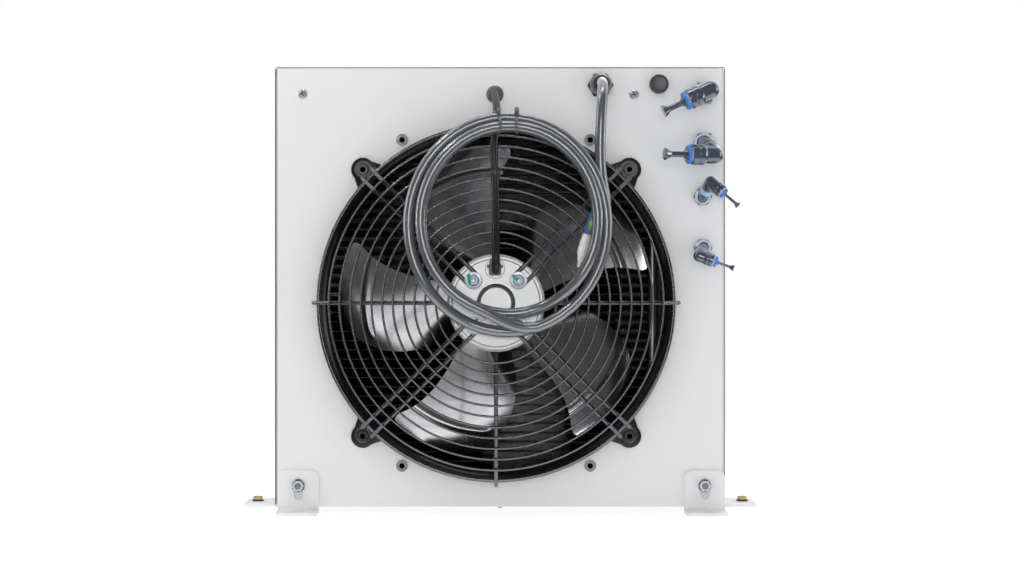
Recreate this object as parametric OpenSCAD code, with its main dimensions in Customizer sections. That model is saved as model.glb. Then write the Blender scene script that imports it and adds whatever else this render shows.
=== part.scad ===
// Rack-mount water chiller with two water circuits, fan side at -Y, rack ears at +Y.
// Origin: centre of the footprint on the floor. Millimetres, +Z up.

/* [Cabinet] */
// Width over the side panels
cab_w = 440; // [430:1:446]
// Height of the cabinet
cab_h = 430; // [425:1:445]
// Depth from the rear panel's face to the front panel's face
cab_d = 650; // [630:1:700]
// Thickness of the sheet panels
sheet_t = 2; // [1.5:0.1:2.5]
// Thickness of the front panel
front_t = 3; // [2:0.5:4]
// Height of the cabinet's underside above the floor
floor_gap = 6; // [5.5:0.5:9]
// Gap between the rear panel and the side panels
seam = 0.3; // [0.2:0.1:0.5]

/* [Rack ears and handles] */
// Width over the rack ears
rack_w = 482.6; // [482:0.1:483]
// Spacing of the rack slots across the rack
slot_span = 465.1; // [465:0.1:465.5]
// Spacing of the rack slots up the rack, eight rack units
slot_rise = 355.6; // [355:0.1:356]
// Width of a rack slot
slot_w = 6.8; // [6.5:0.1:7]
// Length of a rack slot
slot_l = 10; // [9:0.5:10.5]
// Distance of the rack ears' ends past the middle of their slots
ear_past_slot = 21.2; // [18:0.1:24]
// Thickness of the rack ears
ear_t = 2.5; // [2:0.5:3]
// Diameter of the handle bar
handle_bar_d = 10; // [8:1:12]
// Height of the handle between its posts
handle_span = 180; // [150:5:200]
// Distance of the handle's bar in front of the panel, to its outer side
handle_proud = 40; // [36:1:45]

/* [Brackets] */
// Thickness of the bracket sheet
bracket_t = 3; // [2:0.5:3.5]
// Width of a rear bracket
rear_bracket_w = 40; // [36:1:42]
// Height of a rear bracket
rear_bracket_h = 41.7; // [38:0.1:46]
// Reach of every bracket along the floor
bracket_reach = 38.6; // [36:0.1:42]
// Length of a side bracket along the cabinet
side_bracket_l = 70; // [60:1:80]

/* [Fan] */
// Sideways place of the fan's axis
fan_x = -3.8; // [-6:0.1:0]
// Height of the fan's axis above the cabinet's underside
fan_up = 199.2; // [195:0.1:204]
// Outer radius of the wall ring
ring_r = 174; // [172:0.5:175]
// Distance of the ring's lip behind the rear panel
ring_proud = 20; // [18:0.5:22]
// Radius of the ring's throat
throat_r = 165; // [162:0.5:167]
// Radius of the circle of the ring's ears and the rivet nuts
ear_pcr = 184; // [183:0.5:185]
// Radius of the impeller over the blade tips
blade_r = 153.5; // [150:0.5:156]
// Number of blades
blades = 5; // [4:1:7]
// Radius of the motor's end plate
motor_r = 46.8; // [46:0.1:48]
// Distance of the motor's end plate behind the rear panel
motor_proud = 58; // [56:0.5:60]
// Radius of the rotor can
can_r = 45; // [43:0.5:46]

/* [Guard] */
// Thickness of the ring wires
ring_wire = 2.2; // [1.8:0.1:2.6]
// Thickness of the spokes
spoke_wire = 4; // [3.5:0.1:4.4]
// Number of inner rings
guard_rings = 11; // [8:1:12]
// Radius of the smallest ring
first_ring_r = 57.2; // [56:0.1:60]
// Step from ring to ring
ring_step = 10.3; // [9:0.1:10.4]
// Spacing of the two wires of a diagonal spoke
pair_gap = 12.2; // [11.5:0.1:13]

/* [Power cord] */
// Diameter of the power cord
cord_d = 10.3; // [9.5:0.1:10.5]

/* [Hidden] */

$fn = 48;
// Overrun of every cut past the face that it opens
cut = 1;
// Gap of a fit that slides or turns, on the radius
slip = 0.3;
// Running gap of an axle in its bore, on the radius
run_gap = 0.05;

// The fan's cable stands out furthest behind, the handles in front
fan_cable_d = 7.4;
cable_bow = 15;
cable_crest = motor_proud + cable_bow;
rear_proud = cable_crest + fan_cable_d / 2;
overall_d = rear_proud + cab_d + handle_proud;
rear_y = rear_proud - overall_d / 2;
front_y = rear_y + cab_d;
half_w = cab_w / 2;
inner_w = half_w - sheet_t;
cab_bottom = floor_gap;
cab_top = floor_gap + cab_h;
cab_mid = floor_gap + cab_h / 2;
pan_top = cab_bottom + sheet_t;
fan_z = cab_bottom + fan_up;
bay_front_y = front_y - front_t;
bay_rear_y = rear_y + sheet_t;

// Places things on the rear panel's face: local X is +X, local Y is up, local Z points out of the cabinet.
module at_rear(x, z, out = 0) {
    translate([x, rear_y - out, z]) rotate([90, 0, 0]) children();
}

// Places things on the front panel's face: local Y is up, local Z points out of the cabinet.
module at_front(x, z, out = 0) {
    translate([x, front_y + out, z]) rotate([90, 0, 180]) children();
}

module mirrored() {
    children();
    mirror([1, 0, 0]) children();
}

// A box between two corners
module block(low, high) {
    translate(low) cube([high.x - low.x, high.y - low.y, high.z - low.z]);
}

// A flat slot outline with round ends, its length along X
module slot_outline(length, width) {
    square([length - width, width], center = true);
    for (side = [-1, 1]) translate([side * (length - width) / 2, 0]) circle(d = width);
}

// A rectangle outline with round corners, centred
module round_rect(w, h, r) {
    square([w - 2 * r, h], center = true);
    square([w, h - 2 * r], center = true);
    for (sx = [-1, 1], sy = [-1, 1]) translate([sx * (w / 2 - r), sy * (h / 2 - r)]) circle(r = r);
}

// A tube swept along points: rings of a regular outline, square to the path, closed at both ends
function unit(v) = v / norm(v);
function path_dir(p, i) = unit(p[min(i + 1, len(p) - 1)] - p[max(i - 1, 0)]);
function frame_side(dir) = unit(cross(dir, abs(dir.z) > 0.9 ? [1, 0, 0] : [0, 0, 1]));
function next_side(side, dir) = unit(side - (side * dir) * dir);
function sides_along(p, i = 0, side = undef) =
    let (dir = path_dir(p, i), now = side == undef ? frame_side(dir) : next_side(side, dir))
    i == len(p) - 1 ? [now] : concat([now], sides_along(p, i + 1, now));

module tube(p, r, n) {
    side = sides_along(p);
    rings = [for (i = [0:len(p) - 1]) let (dir = path_dir(p, i), up = cross(side[i], dir))
        for (k = [0:n - 1]) p[i] + r * (cos(360 * k / n) * side[i] + sin(360 * k / n) * up)];
    last = (len(p) - 1) * n;
    walls = [for (i = [0:len(p) - 2], k = [0:n - 1]) each [
        [i * n + k, i * n + (k + 1) % n, (i + 1) * n + (k + 1) % n],
        [i * n + k, (i + 1) * n + (k + 1) % n, (i + 1) * n + k]]];
    start_cap = [for (k = [1:n - 2]) [0, k + 1, k]];
    end_cap = [for (k = [1:n - 2]) [last, last + k, last + k + 1]];
    polyhedron(rings, concat(walls, start_cap, end_cap));
}

// Smooth step from 0 at a to 1 at b
function ease(u, a, b) = let (s = min(1, max(0, (u - a) / (b - a)))) s * s * (3 - 2 * s);

// Catmull-Rom curve through a few points, given steps on each span
function spline_point(a, b, c, d, u) =
    0.5 * (2 * b + (c - a) * u + (2 * a - 5 * b + 4 * c - d) * u * u + (3 * b - a - 3 * c + d) * u * u * u);
function spline(p, steps) = concat(
    [for (i = [0:len(p) - 2], s = [0:steps - 1])
        spline_point(p[max(i - 1, 0)], p[i], p[i + 1], p[min(i + 2, len(p) - 1)], s / steps)],
    [p[len(p) - 1]]);

// Rear panel and what stands on it: places on the panel as x from the middle and height above the underside
screw_places = [[-193, 403.7], [131, 403]];
screw_head_r = 5;
screw_head_h = 2.4;
screw_shank_r = 2;
gland_x = 98;
gland_up = 411.7;
gland_hex = 22;
gland_hex_h = 7;
gland_dome_r = 11;
gland_taper = 1;
gland_dome_h = 22;
gland_mouth_r = 7.7;
gland_thread_r = 9.5;
grommet_x = -4.9;
grommet_up = 403;
grommet_r = 8.5;
grommet_h = 5;
grommet_hole_r = 6;
grommet_dome_r = 10.5;
alarm_x = 154.8;
alarm_up = 412.3;
alarm_body_r = 7.5;
alarm_flange_r = 9;
alarm_flange_h = 2;
alarm_body_h = 9;
cap_r = 9.4;
cap_h = 11;
cap_floor = 2;
knurls = 24;
knurl_r = 0.5;
insert_r = 2.7;
insert_body_r = 3.9;
insert_flange_r = 5.75;
insert_flange_h = 1.2;
insert_l = 10;
insert_angle = 60;
eyelet_bore_r = 2.7;
eyelet_r = 4.2;
eyelet_rim_r = 5;
eyelet_rim_h = 0.8;

// Water ports: sideways place, height, size (1 large, 0 small), lean direction, lean, leg direction
ports = [
    [199, 404, 1, 10, 7, 205.5],
    [199.5, 354, 1, -60, 30, 180],
    [198, 303, 0, 66, 36, -41.5],
    [198.2, 253, 0, -124, 25, -20]
];
// Each pair holds the small fitting's value and the large one's
port_hex = [16, 21];
port_hex_h = [6, 8];
port_thread_r = [6, 8];
port_thread_l = [14, 18];
stem_r = [5.2, 7.6];
stem_l = [8, 9];
spigot_r = [3.2, 4.6];
spigot_l = [5, 7];
neck_r = [6, 8.8];
neck_l = [24, 28];
collar_from = [6.2, 10.5];
collar_to = [14.4, 23.7];
collar_r = [6.7, 10.2];
leg_r = [6, 8.8];
socket_r = [4.6, 7.4];
socket_from = [4.5, 7.5];
collet_r = [5.6, 9.3];
collet_bore_r = [3.2, 6.2];
collet_flange = [2.4, 2.8];
collet_travel = [1.5, 1.6];
plug_r = [2.9, 5.9];
plug_grip_r = [1.4, 2.9];
plug_end = [35.4, 51];
plug_flare_r = [3.2, 6];
plug_flare_l = [2.5, 4];

// Base pan and rack ears
pan_lip = 18;
ear_side_flange = 50;

// Wall ring
ring_wall = 2.5;
ring_depth = 30;
ring_fit = 0.6;
funnel_steps = 8;
panel_cut_r = throat_r + ring_wall + ring_fit;
ear_tip_r = 11.5;
ear_plate_t = 4;
ear_root_w = 22;
ear_boss_r = 10;
ear_boss_h = 6;

// Guard
spoke_in_r = 26;
spoke_flat_r = 50;
spoke_knee_r = 160;
spoke_knee_out = 45;
lip_ring_r = 172;
hook_r = 177;
weld = 0.3;
lip_gap = 0.1;
// How much a bend or a weld bead is thicker than its wire, on the radius
bead = 0.15;
// Steps of a pipe's bend
bend_steps = 5;

// Motor and impeller
plate_t = 6;
plate_groove_r = 43;
plate_groove_w = 2.2;
plate_groove_t = 3;
boss_r = 18.5;
boss_top_r = 14;
boss_h = 2;
stator_r = 40;
stator_t = 12;
spindle_r = 8;
can_gap = 2;
can_l = 84;
motor_bolt_pcr = 30.4;
motor_washer_r = 8.2;
motor_washer_t = 1.6;
motor_head_r = 5.5;
motor_head_h = 4;
motor_shank_r = 2.4;
motor_shank_l = 12;
cable_exit_up = 31;
cable_exit_r = 9.2;
cable_recess = 2.5;
cable_plug_r = 6.8;
cable_plug_h = 4;
band_t = 2;
blade_t = 1.6;
blade_lead_angle = 287;
blade_sweep = 25.5;
blade_root_span = 58;
blade_tip_span = 35;
blade_near = -4;
blade_far = -38;
blade_camber = 5;
// The bead that is pressed into each blade, and the round corners at its tip
bead_r = 128;
bead_half_w = 3.5;
bead_h = 1.8;
bead_from_share = 0.125;
tip_corner_r = 12;
blade_rows = 6;
bead_rows = 4;
corner_rows = 3;
blade_cols = 8;

// Ties
tie_w = 3.6;
tie_t = 1.3;
tie_head = 2.6;
coil_tie_xs = [-3, 16];
cable_tie_place = [-5, 58.5, 329.3];

// Brackets and their bolts
bracket_corner_r = 8;
bend_r = 3;
rear_bracket_xs = [-197, 199.9];
bracket_slot_l = 20.6;
bracket_slot_w = 8.4;
bracket_slot_z = 23.2;
bracket_bolt_z = 26.5;
bracket_bolt_r = 3;
bracket_nut = 10;
bracket_nut_h = 5;
bracket_stud_l = 11;
bracket_washer_r = 6;
bracket_washer_t = 1.5;
floor_slot_l = 14;
floor_slot_w = 7;
floor_slot_out = 23.2;
side_bracket_from = 66;
floor_bolt_out = 27;
floor_bolt_r = 2.5;
floor_bolt_hex = 8;
floor_bolt_head_h = 3.5;
floor_washer_r = 6;
floor_washer_t = 1.6;
under_screw_r = 3.6;
under_screw_h = 2.6;

// Vents in the side panels
vent_l = 60;
vent_w = 5;
vent_pitch = 12;
vents_up = 16;
vent_from_z = 90;
vent_columns_y = [60, 135, 210];

// Rear bay: shroud and condenser
shroud_t = 1.5;
shroud_left = -197;
shroud_right = 185;
// Gap above the shroud, the strips above and below the core, and the plates beside it
shroud_gap = 38;
shroud_h = cab_h - 2 * sheet_t - shroud_gap;
core_up = 12;
core_rest = 10;
core_h = shroud_h - core_up - core_rest;
core_side_l = 11;
core_side_r = 28;
core_left = shroud_left + core_side_l;
core_right = shroud_right - core_side_r;
core_t = 26;
core_recess = 3;
core_out = 88;
flat_tube_t = 2;
flat_tube_pitch = 9.4;
header_r = 8;

// Middle bay
comp_x = -120;
comp_y = -90;
comp_r = 62;
comp_h = 190;
comp_foot = 150;
comp_foot_t = 4;
comp_leg_h = 12;
comp_leg_x = 63;
accu_r = 22;
accu_h = 130;
evap_x = 30;
evap_y = -90;
evap_w = 76;
evap_d = 60;
evap_h = 200;
evap_port_x = 21;
evap_end = 20;
port_stub_r = 9;
port_stub_l = 14;
pump_x = 130;
pump_y = 40;
pump_r = 50;
pump_l = 150;
pump_axis_z = 66;
pump_head_r = 58;
pump_head_l = 36;
pump_foot_y = 30;
pump_foot_h = 26;
tank_x = -150;
tank_w = 120;
tank_d = 230;
tank_h = 300;
tank_gap = 16;
box_x = 60;
box_w = 260;
box_d = 200;
box_h = 90;
pipe_r = 5;
hose_r = 11;

// Front panel fittings: places as x and height above the underside
ctrl_x = 70;
ctrl_up = 372;
ctrl_w = 100;
ctrl_h = 50;
ctrl_bezel_t = 3;
ctrl_corner_r = 4;
ctrl_body_w = 92;
ctrl_body_h = 44;
ctrl_body_d = 60;
key_r = 4;
key_proud = 1.8;
key_travel = 1;
key_depth = 8;
key_dx = 34;
key_dz = 9;
switch_x = -40;
switch_up = 372;
switch_w = 24;
switch_h = 34;
switch_rim = 3;
switch_rim_t = 2.5;
switch_body_d = 24;
rocker_gap = 0.6;
rocker_tip = 9;
rocker_r = 13;
rocker_pin_r = 1.5;
rocker_pin_l = 1.5;
rocker_axis_in = 3;
filler_x = -150;
filler_up = 352;
filler_tilt = 40;
filler_r = 16;
filler_bore_r = 12;
filler_out = 29;
filler_in = 70;
filler_cap_r = 21;
filler_cap_h = 14;
filler_cap_from = 19.5;
door_x = 40;
door_mid_up = 180;
door_w = 250;
door_h = 250;
door_t = 2;
door_corner_r = 6;
intake_w = 222;
intake_h = 222;
filter_t = 8;
hinge_r = 4;
hinge_pin_r = 1.5;
hinge_pin_l = 8;
hinge_lug_l = 10;
louvre_l = 190;
louvre_w = 5;
louvre_pitch = 13;
louvres = 15;
knob_r = 7;
knob_neck_r = 5;
knob_h = 12;
handle_x = 196;
handle_foot_r = 9;
handle_foot_t = 3;
gauge_x = -150;
gauge_up = 190;
gauge_h = 130;
gauge_slot_w = 10;

port_count = len(ports);
function by_size(pair, i) = pair[ports[i][2]];

module base_pan() {
    color("gainsboro") difference() {
        union() {
            block([-inner_w, bay_rear_y, cab_bottom], [inner_w, bay_front_y, pan_top]);
            for (side = [-1, 1]) {
                outer = side * inner_w;
                inner = side * (inner_w - sheet_t);
                block([min(outer, inner), bay_rear_y, cab_bottom],
                    [max(outer, inner), bay_front_y, pan_top + pan_lip]);
            }
        }
        at_under_screw() cylinder(r = screw_shank_r + slip, h = sheet_t + 2 * cut, center = true);
    }
}

module at_under_screw() {
    under_y = bay_rear_y + 4 * under_screw_r;
    translate([0, under_y, cab_bottom]) children();
}

module side_panel() {
    difference() {
        block([inner_w, rear_y, cab_bottom], [half_w, bay_front_y, cab_top - sheet_t]);
        for (y = vent_columns_y, k = [0:vents_up - 1])
            translate([inner_w - cut, y, vent_from_z + k * vent_pitch]) rotate([90, 0, 90])
                linear_extrude(sheet_t + 2 * cut) slot_outline(vent_l, vent_w);
    }
}

module right_side_panel() { color("whitesmoke") side_panel(); }

module left_side_panel() { color("whitesmoke") mirror([1, 0, 0]) side_panel(); }

module top_cover() {
    color("whitesmoke") block([-half_w, rear_y, cab_top - sheet_t], [half_w, bay_front_y, cab_top]);
}

module at_rivet_nuts() {
    for (side = [-1, 1], up = [-1, 1])
        at_rear(fan_x + side * ear_pcr * cos(insert_angle), fan_z + up * ear_pcr * sin(insert_angle))
            children();
}

module at_ring_ears() {
    for (a = [45:90:315]) at_rear(fan_x, fan_z) rotate([0, 0, a]) children();
}

module at_bracket_bolts() {
    for (x = rear_bracket_xs) at_rear(x, bracket_bolt_z, bracket_t) children();
}

module through_sheet(r) {
    translate([0, 0, -sheet_t - cut]) cylinder(r = r, h = sheet_t + 2 * cut);
}

module rear_panel() {
    panel_half = inner_w - seam;
    color("whitesmoke") difference() {
        block([-panel_half, rear_y, cab_bottom], [panel_half, bay_rear_y, cab_top - sheet_t]);
        at_rear(fan_x, fan_z) through_sheet(panel_cut_r);
        at_ring_ears() translate([ear_pcr, 0, 0]) through_sheet(eyelet_r + run_gap);
        at_rivet_nuts() through_sheet(insert_body_r + run_gap);
        for (p = screw_places) at_rear(p.x, cab_bottom + p.y) through_sheet(screw_shank_r + run_gap);
        at_rear(gland_x, cab_bottom + gland_up) through_sheet(gland_thread_r + run_gap);
        at_rear(grommet_x, cab_bottom + grommet_up) through_sheet(grommet_hole_r + slip);
        at_rear(alarm_x, cab_bottom + alarm_up) through_sheet(alarm_body_r + slip);
        for (i = [0:port_count - 1]) at_rear(ports[i][0], cab_bottom + ports[i][1])
            through_sheet(by_size(port_thread_r, i) + slip);
        at_bracket_bolts() translate([0, 0, -bracket_t]) through_sheet(bracket_bolt_r + run_gap);
    }
}

module at_filler() {
    translate([filler_x, front_y, cab_bottom + filler_up]) rotate([-(90 - filler_tilt), 0, 0]) children();
}

module at_door_hinge(up) {
    translate([door_x - door_w / 2 - hinge_r, front_y + slip + hinge_r, cab_bottom + door_mid_up + up])
        children();
}

module front_panel() {
    color("whitesmoke") union() {
        difference() {
            block([-half_w, bay_front_y, cab_bottom], [half_w, front_y, cab_top]);
            at_front(ctrl_x, cab_bottom + ctrl_up, -front_t - cut) linear_extrude(front_t + 2 * cut)
                square([ctrl_body_w + 2 * slip, ctrl_body_h + 2 * slip], center = true);
            at_front(switch_x, cab_bottom + switch_up, -front_t - cut) linear_extrude(front_t + 2 * cut)
                square([switch_w + 2 * slip, switch_h + 2 * slip], center = true);
            at_front(door_x, cab_bottom + door_mid_up, -front_t - cut) linear_extrude(front_t + 2 * cut)
                square([intake_w, intake_h], center = true);
            at_front(gauge_x, cab_bottom + gauge_up, -front_t - cut) linear_extrude(front_t + 2 * cut)
                rotate([0, 0, 90]) slot_outline(gauge_h, gauge_slot_w);
            at_filler() cylinder(r = filler_r + slip, h = 4 * filler_r, center = true);
        }
        for (end = [-1, 1]) {
            at_door_hinge(end * (door_h / 2 + slip + hinge_lug_l / 2)) union() {
                cylinder(r = hinge_r, h = hinge_lug_l, center = true);
                translate([-hinge_r, -hinge_r - slip, -hinge_lug_l / 2])
                    cube([2 * hinge_r, hinge_r + slip, hinge_lug_l]);
                translate([0, 0, -end * (hinge_lug_l / 2 + hinge_pin_l / 2)])
                    cylinder(r = hinge_pin_r, h = hinge_pin_l + hinge_lug_l / 2, center = true);
            }
        }
    }
}

module rack_ears() {
    ear_h = slot_rise + 2 * ear_past_slot;
    slot_x = slot_span / 2;
    color("whitesmoke") mirrored() difference() {
        union() {
            block([half_w, front_y - ear_side_flange, cab_mid - ear_h / 2],
                [half_w + ear_t, front_y, cab_mid + ear_h / 2]);
            block([half_w, front_y - ear_t, cab_mid - ear_h / 2], [rack_w / 2, front_y, cab_mid + ear_h / 2]);
        }
        for (end = [-1, 1]) translate([slot_x, front_y + cut, cab_mid + end * slot_rise / 2])
            rotate([90, 0, 0])
            linear_extrude(ear_t + 2 * cut) slot_outline(slot_l, slot_w);
    }
}

module handles() {
    bar_r = handle_bar_d / 2;
    bend = 2 * bar_r;
    reach = handle_proud - bar_r;
    color("silver") for (side = [-1, 1]) translate([side * handle_x, front_y, cab_mid]) union() {
        for (end = [-1, 1]) {
            translate([0, 0, end * handle_span / 2]) rotate([-90, 0, 0])
                cylinder(r = bar_r, h = reach - bend);
            translate([0, 0, end * handle_span / 2]) rotate([-90, 0, 0])
                cylinder(r = handle_foot_r, h = handle_foot_t);
            translate([0, reach - bend, end * (handle_span / 2 - bend)]) rotate([0, -90, 0])
                rotate([0, 0, end > 0 ? 0 : 90]) rotate_extrude(angle = 90) translate([bend, 0])
                    circle(r = bar_r);
        }
        translate([0, reach, 0]) cylinder(r = bar_r, h = handle_span - 2 * bend, center = true);
    }
}

// One L bracket: upright flange in the XZ plane, floor flange towards +Z of the local frame
module l_bracket(w, h, reach, corner) {
    difference() {
        union() {
            translate([-w / 2, 0, 0]) cube([w, h - corner, bracket_t]);
            translate([-w / 2 + corner, h - corner, 0]) cube([w - 2 * corner, corner, bracket_t]);
            for (side = [-1, 1]) translate([side * (w / 2 - corner), h - corner, 0])
                cylinder(r = corner, h = bracket_t);
            translate([-w / 2, 0, 0]) cube([w, bracket_t, reach - corner]);
            translate([-w / 2 + corner, 0, reach - corner]) cube([w - 2 * corner, bracket_t, corner]);
            for (side = [-1, 1]) translate([side * (w / 2 - corner), bracket_t, reach - corner])
                rotate([90, 0, 0])
                cylinder(r = corner, h = bracket_t);
            translate([-w / 2, bracket_t, bracket_t]) cube([w, bend_r, bend_r]);
        }
        translate([-w / 2 - cut, bracket_t + bend_r, bracket_t + bend_r]) rotate([0, 90, 0])
            cylinder(r = bend_r, h = w + 2 * cut);
    }
}

module rear_brackets() {
    color("whitesmoke") for (x = rear_bracket_xs) at_rear(x, 0) difference() {
        l_bracket(rear_bracket_w, rear_bracket_h, bracket_reach, bracket_corner_r);
        translate([0, bracket_slot_z, -cut]) rotate([0, 0, 90]) linear_extrude(bracket_t + 2 * cut)
            slot_outline(bracket_slot_l, bracket_slot_w);
        translate([0, -cut, floor_slot_out]) rotate([-90, 0, 0]) linear_extrude(bracket_t + 2 * cut)
            slot_outline(floor_slot_l, floor_slot_w);
    }
}

side_bracket_ys = [bay_rear_y - sheet_t + side_bracket_from + side_bracket_l / 2,
    front_y - side_bracket_from - side_bracket_l / 2];

module side_brackets() {
    color("whitesmoke") for (y = side_bracket_ys) mirrored() translate([half_w, y, 0]) rotate([90, 0, 90])
        difference() {
            l_bracket(side_bracket_l, rear_bracket_h, bracket_reach, bracket_corner_r);
            translate([0, -cut, floor_bolt_out]) rotate([-90, 0, 0])
                cylinder(r = floor_bolt_r + run_gap, h = bracket_t + 2 * cut);
        }
}

module bracket_bolts() {
    color("darkkhaki") {
        at_bracket_bolts() {
            cylinder(r = bracket_washer_r, h = bracket_washer_t);
            cylinder(d = bracket_nut / cos(30), h = bracket_washer_t + bracket_nut_h, $fn = 6);
            translate([0, 0, -bracket_t - sheet_t])
                cylinder(r = bracket_bolt_r, h = bracket_stud_l + bracket_t + sheet_t);
        }
        for (y = side_bracket_ys) mirrored() translate([half_w + floor_bolt_out, y, bracket_t]) {
            cylinder(r = floor_washer_r, h = floor_washer_t);
            cylinder(d = floor_bolt_hex / cos(30), h = floor_washer_t + floor_bolt_head_h, $fn = 6);
            translate([0, 0, -bracket_t]) cylinder(r = floor_bolt_r, h = bracket_t + floor_washer_t);
        }
    }
}

// A pan head on a sheet: dome made of a disc and a ball's cap
module pan_head(r, h) {
    dome_r = (r * r + h * h) / (2 * h);
    intersection() {
        translate([0, 0, h - dome_r]) sphere(r = dome_r);
        cylinder(r = r, h = h);
    }
}

module panel_screws() {
    color("silver") {
        for (p = screw_places) at_rear(p.x, cab_bottom + p.y) {
            pan_head(screw_head_r, screw_head_h);
            translate([0, 0, -3 * sheet_t]) cylinder(r = screw_shank_r, h = 3 * sheet_t + screw_head_h / 2);
        }
        at_under_screw() rotate([180, 0, 0]) {
            pan_head(under_screw_r, under_screw_h);
            translate([0, 0, -sheet_t]) cylinder(r = screw_shank_r, h = sheet_t + under_screw_h / 2);
        }
    }
}

module rivet_nuts() {
    color("whitesmoke") at_rivet_nuts() difference() {
        union() {
            cylinder(r = insert_flange_r, h = insert_flange_h);
            translate([0, 0, -insert_l]) cylinder(r = insert_body_r, h = insert_l + insert_flange_h);
        }
        translate([0, 0, -insert_l - cut]) cylinder(r = insert_r, h = insert_l + insert_flange_h + 2 * cut);
    }
}

// Profile of the ring's wall: a straight outer skirt and a funnel that narrows to the throat
module ring_profile() {
    funnel_out = [for (k = [0:funnel_steps]) let (a = 90 * k / funnel_steps)
        [ring_r - ring_wall - (ring_r - ring_wall - throat_r) * sin(a),
            ring_proud - (ring_proud + ring_depth / 3) * (1 - cos(a))]];
    funnel_back = [for (k = [0:funnel_steps]) let (a = 90 - 90 * k / funnel_steps)
        [ring_r - ring_wall - (ring_r - 2 * ring_wall - throat_r) * sin(a),
            ring_proud - ring_wall - (ring_proud - ring_wall + ring_depth / 3) * (1 - cos(a))]];
    polygon(concat(
        [[ring_r, 0], [ring_r, ring_proud]],
        funnel_out,
        [[throat_r, -ring_depth], [throat_r + ring_wall, -ring_depth]],
        funnel_back,
        [[ring_r - ring_wall, 0]]));
}

module wall_ring() {
    color("dimgray") difference() {
        union() {
            at_rear(fan_x, fan_z) rotate_extrude($fn = 96) ring_profile();
            at_ring_ears() difference() {
                union() {
                    translate([ear_pcr, 0, 0]) cylinder(r = ear_tip_r, h = ear_plate_t);
                    translate([ear_pcr, 0, 0]) cylinder(r = ear_boss_r, h = ear_boss_h);
                    linear_extrude(ear_plate_t)
                        polygon([[ear_pcr, ear_tip_r], [ring_r - ear_root_w / 2, ear_root_w],
                        [ring_r - ear_root_w / 2, -ear_root_w], [ear_pcr, -ear_tip_r]]);
                }
                translate([0, 0, -cut]) cylinder(r = ring_r - ring_wall / 2, h = ear_boss_h + 2 * cut);
            }
        }
        at_ring_ears() translate([ear_pcr, 0, -cut])
            cylinder(r = eyelet_r + run_gap, h = ear_boss_h + 2 * cut);
    }
}

module ring_rivets() {
    color("dimgray") at_ring_ears() translate([ear_pcr, 0, 0]) difference() {
        union() {
            translate([0, 0, ear_boss_h]) cylinder(r = eyelet_rim_r, h = eyelet_rim_h);
            translate([0, 0, -2 * sheet_t])
                cylinder(r = eyelet_r, h = ear_boss_h + 2 * sheet_t + eyelet_rim_h);
        }
        translate([0, 0, -2 * sheet_t - cut])
            cylinder(r = eyelet_bore_r, h = ear_boss_h + 2 * sheet_t + 3 * cut);
    }
}

// A straight wire from a to b with a ball at its far end, in the plane of radius and height
module wire(a, b, r) {
    run = b - a;
    translate([a.x, 0, a.y]) rotate([0, 90 - atan2(run.y, run.x), 0])
        cylinder(r = r, h = norm(run), $fn = 24);
    translate([b.x, 0, b.y]) sphere(r = r + bead, $fn = 24);
}

wire_out = motor_proud + spoke_wire / 2;
lip_out = ring_proud + spoke_wire / 2 + lip_gap;
function spoke_height(r) = r <= spoke_flat_r ? wire_out
    : wire_out - (wire_out - spoke_knee_out) * (r - spoke_flat_r) / (spoke_knee_r - spoke_flat_r);

module spoke(from_r, hook_out) {
    points = [[from_r, wire_out], [spoke_flat_r, wire_out], [spoke_knee_r, spoke_knee_out],
        [lip_ring_r, lip_out + spoke_wire - weld], [hook_r, lip_out], [hook_r, hook_out]];
    for (i = [0:len(points) - 2]) wire(points[i], points[i + 1], spoke_wire / 2);
}

module guard() {
    color("dimgray") at_rear(fan_x, fan_z) {
        for (i = [0:guard_rings - 1]) {
            r = first_ring_r + i * ring_step;
            translate([0, 0, spoke_height(r) + (spoke_wire + ring_wire) / 2 - weld])
                rotate_extrude($fn = 96) translate([r, 0]) circle(d = ring_wire, $fn = 16);
        }
        translate([0, 0, lip_out]) rotate_extrude($fn = 96) translate([lip_ring_r, 0])
            circle(d = spoke_wire, $fn = 16);
        for (a = [45:90:315], side = [-1, 1])
            rotate([0, 0, a]) translate([0, side * pair_gap / 2, 0])
                spoke(spoke_in_r, ear_boss_h + spoke_wire);
        for (a = [0:90:270]) rotate([0, 0, a]) spoke(spoke_flat_r - spoke_wire / 2, ring_proud - spoke_wire);
    }
}

module at_motor_bolts() {
    for (a = [45:90:315]) at_rear(fan_x, fan_z) rotate([0, 0, a]) translate([motor_bolt_pcr, 0, 0])
        children();
}

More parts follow.
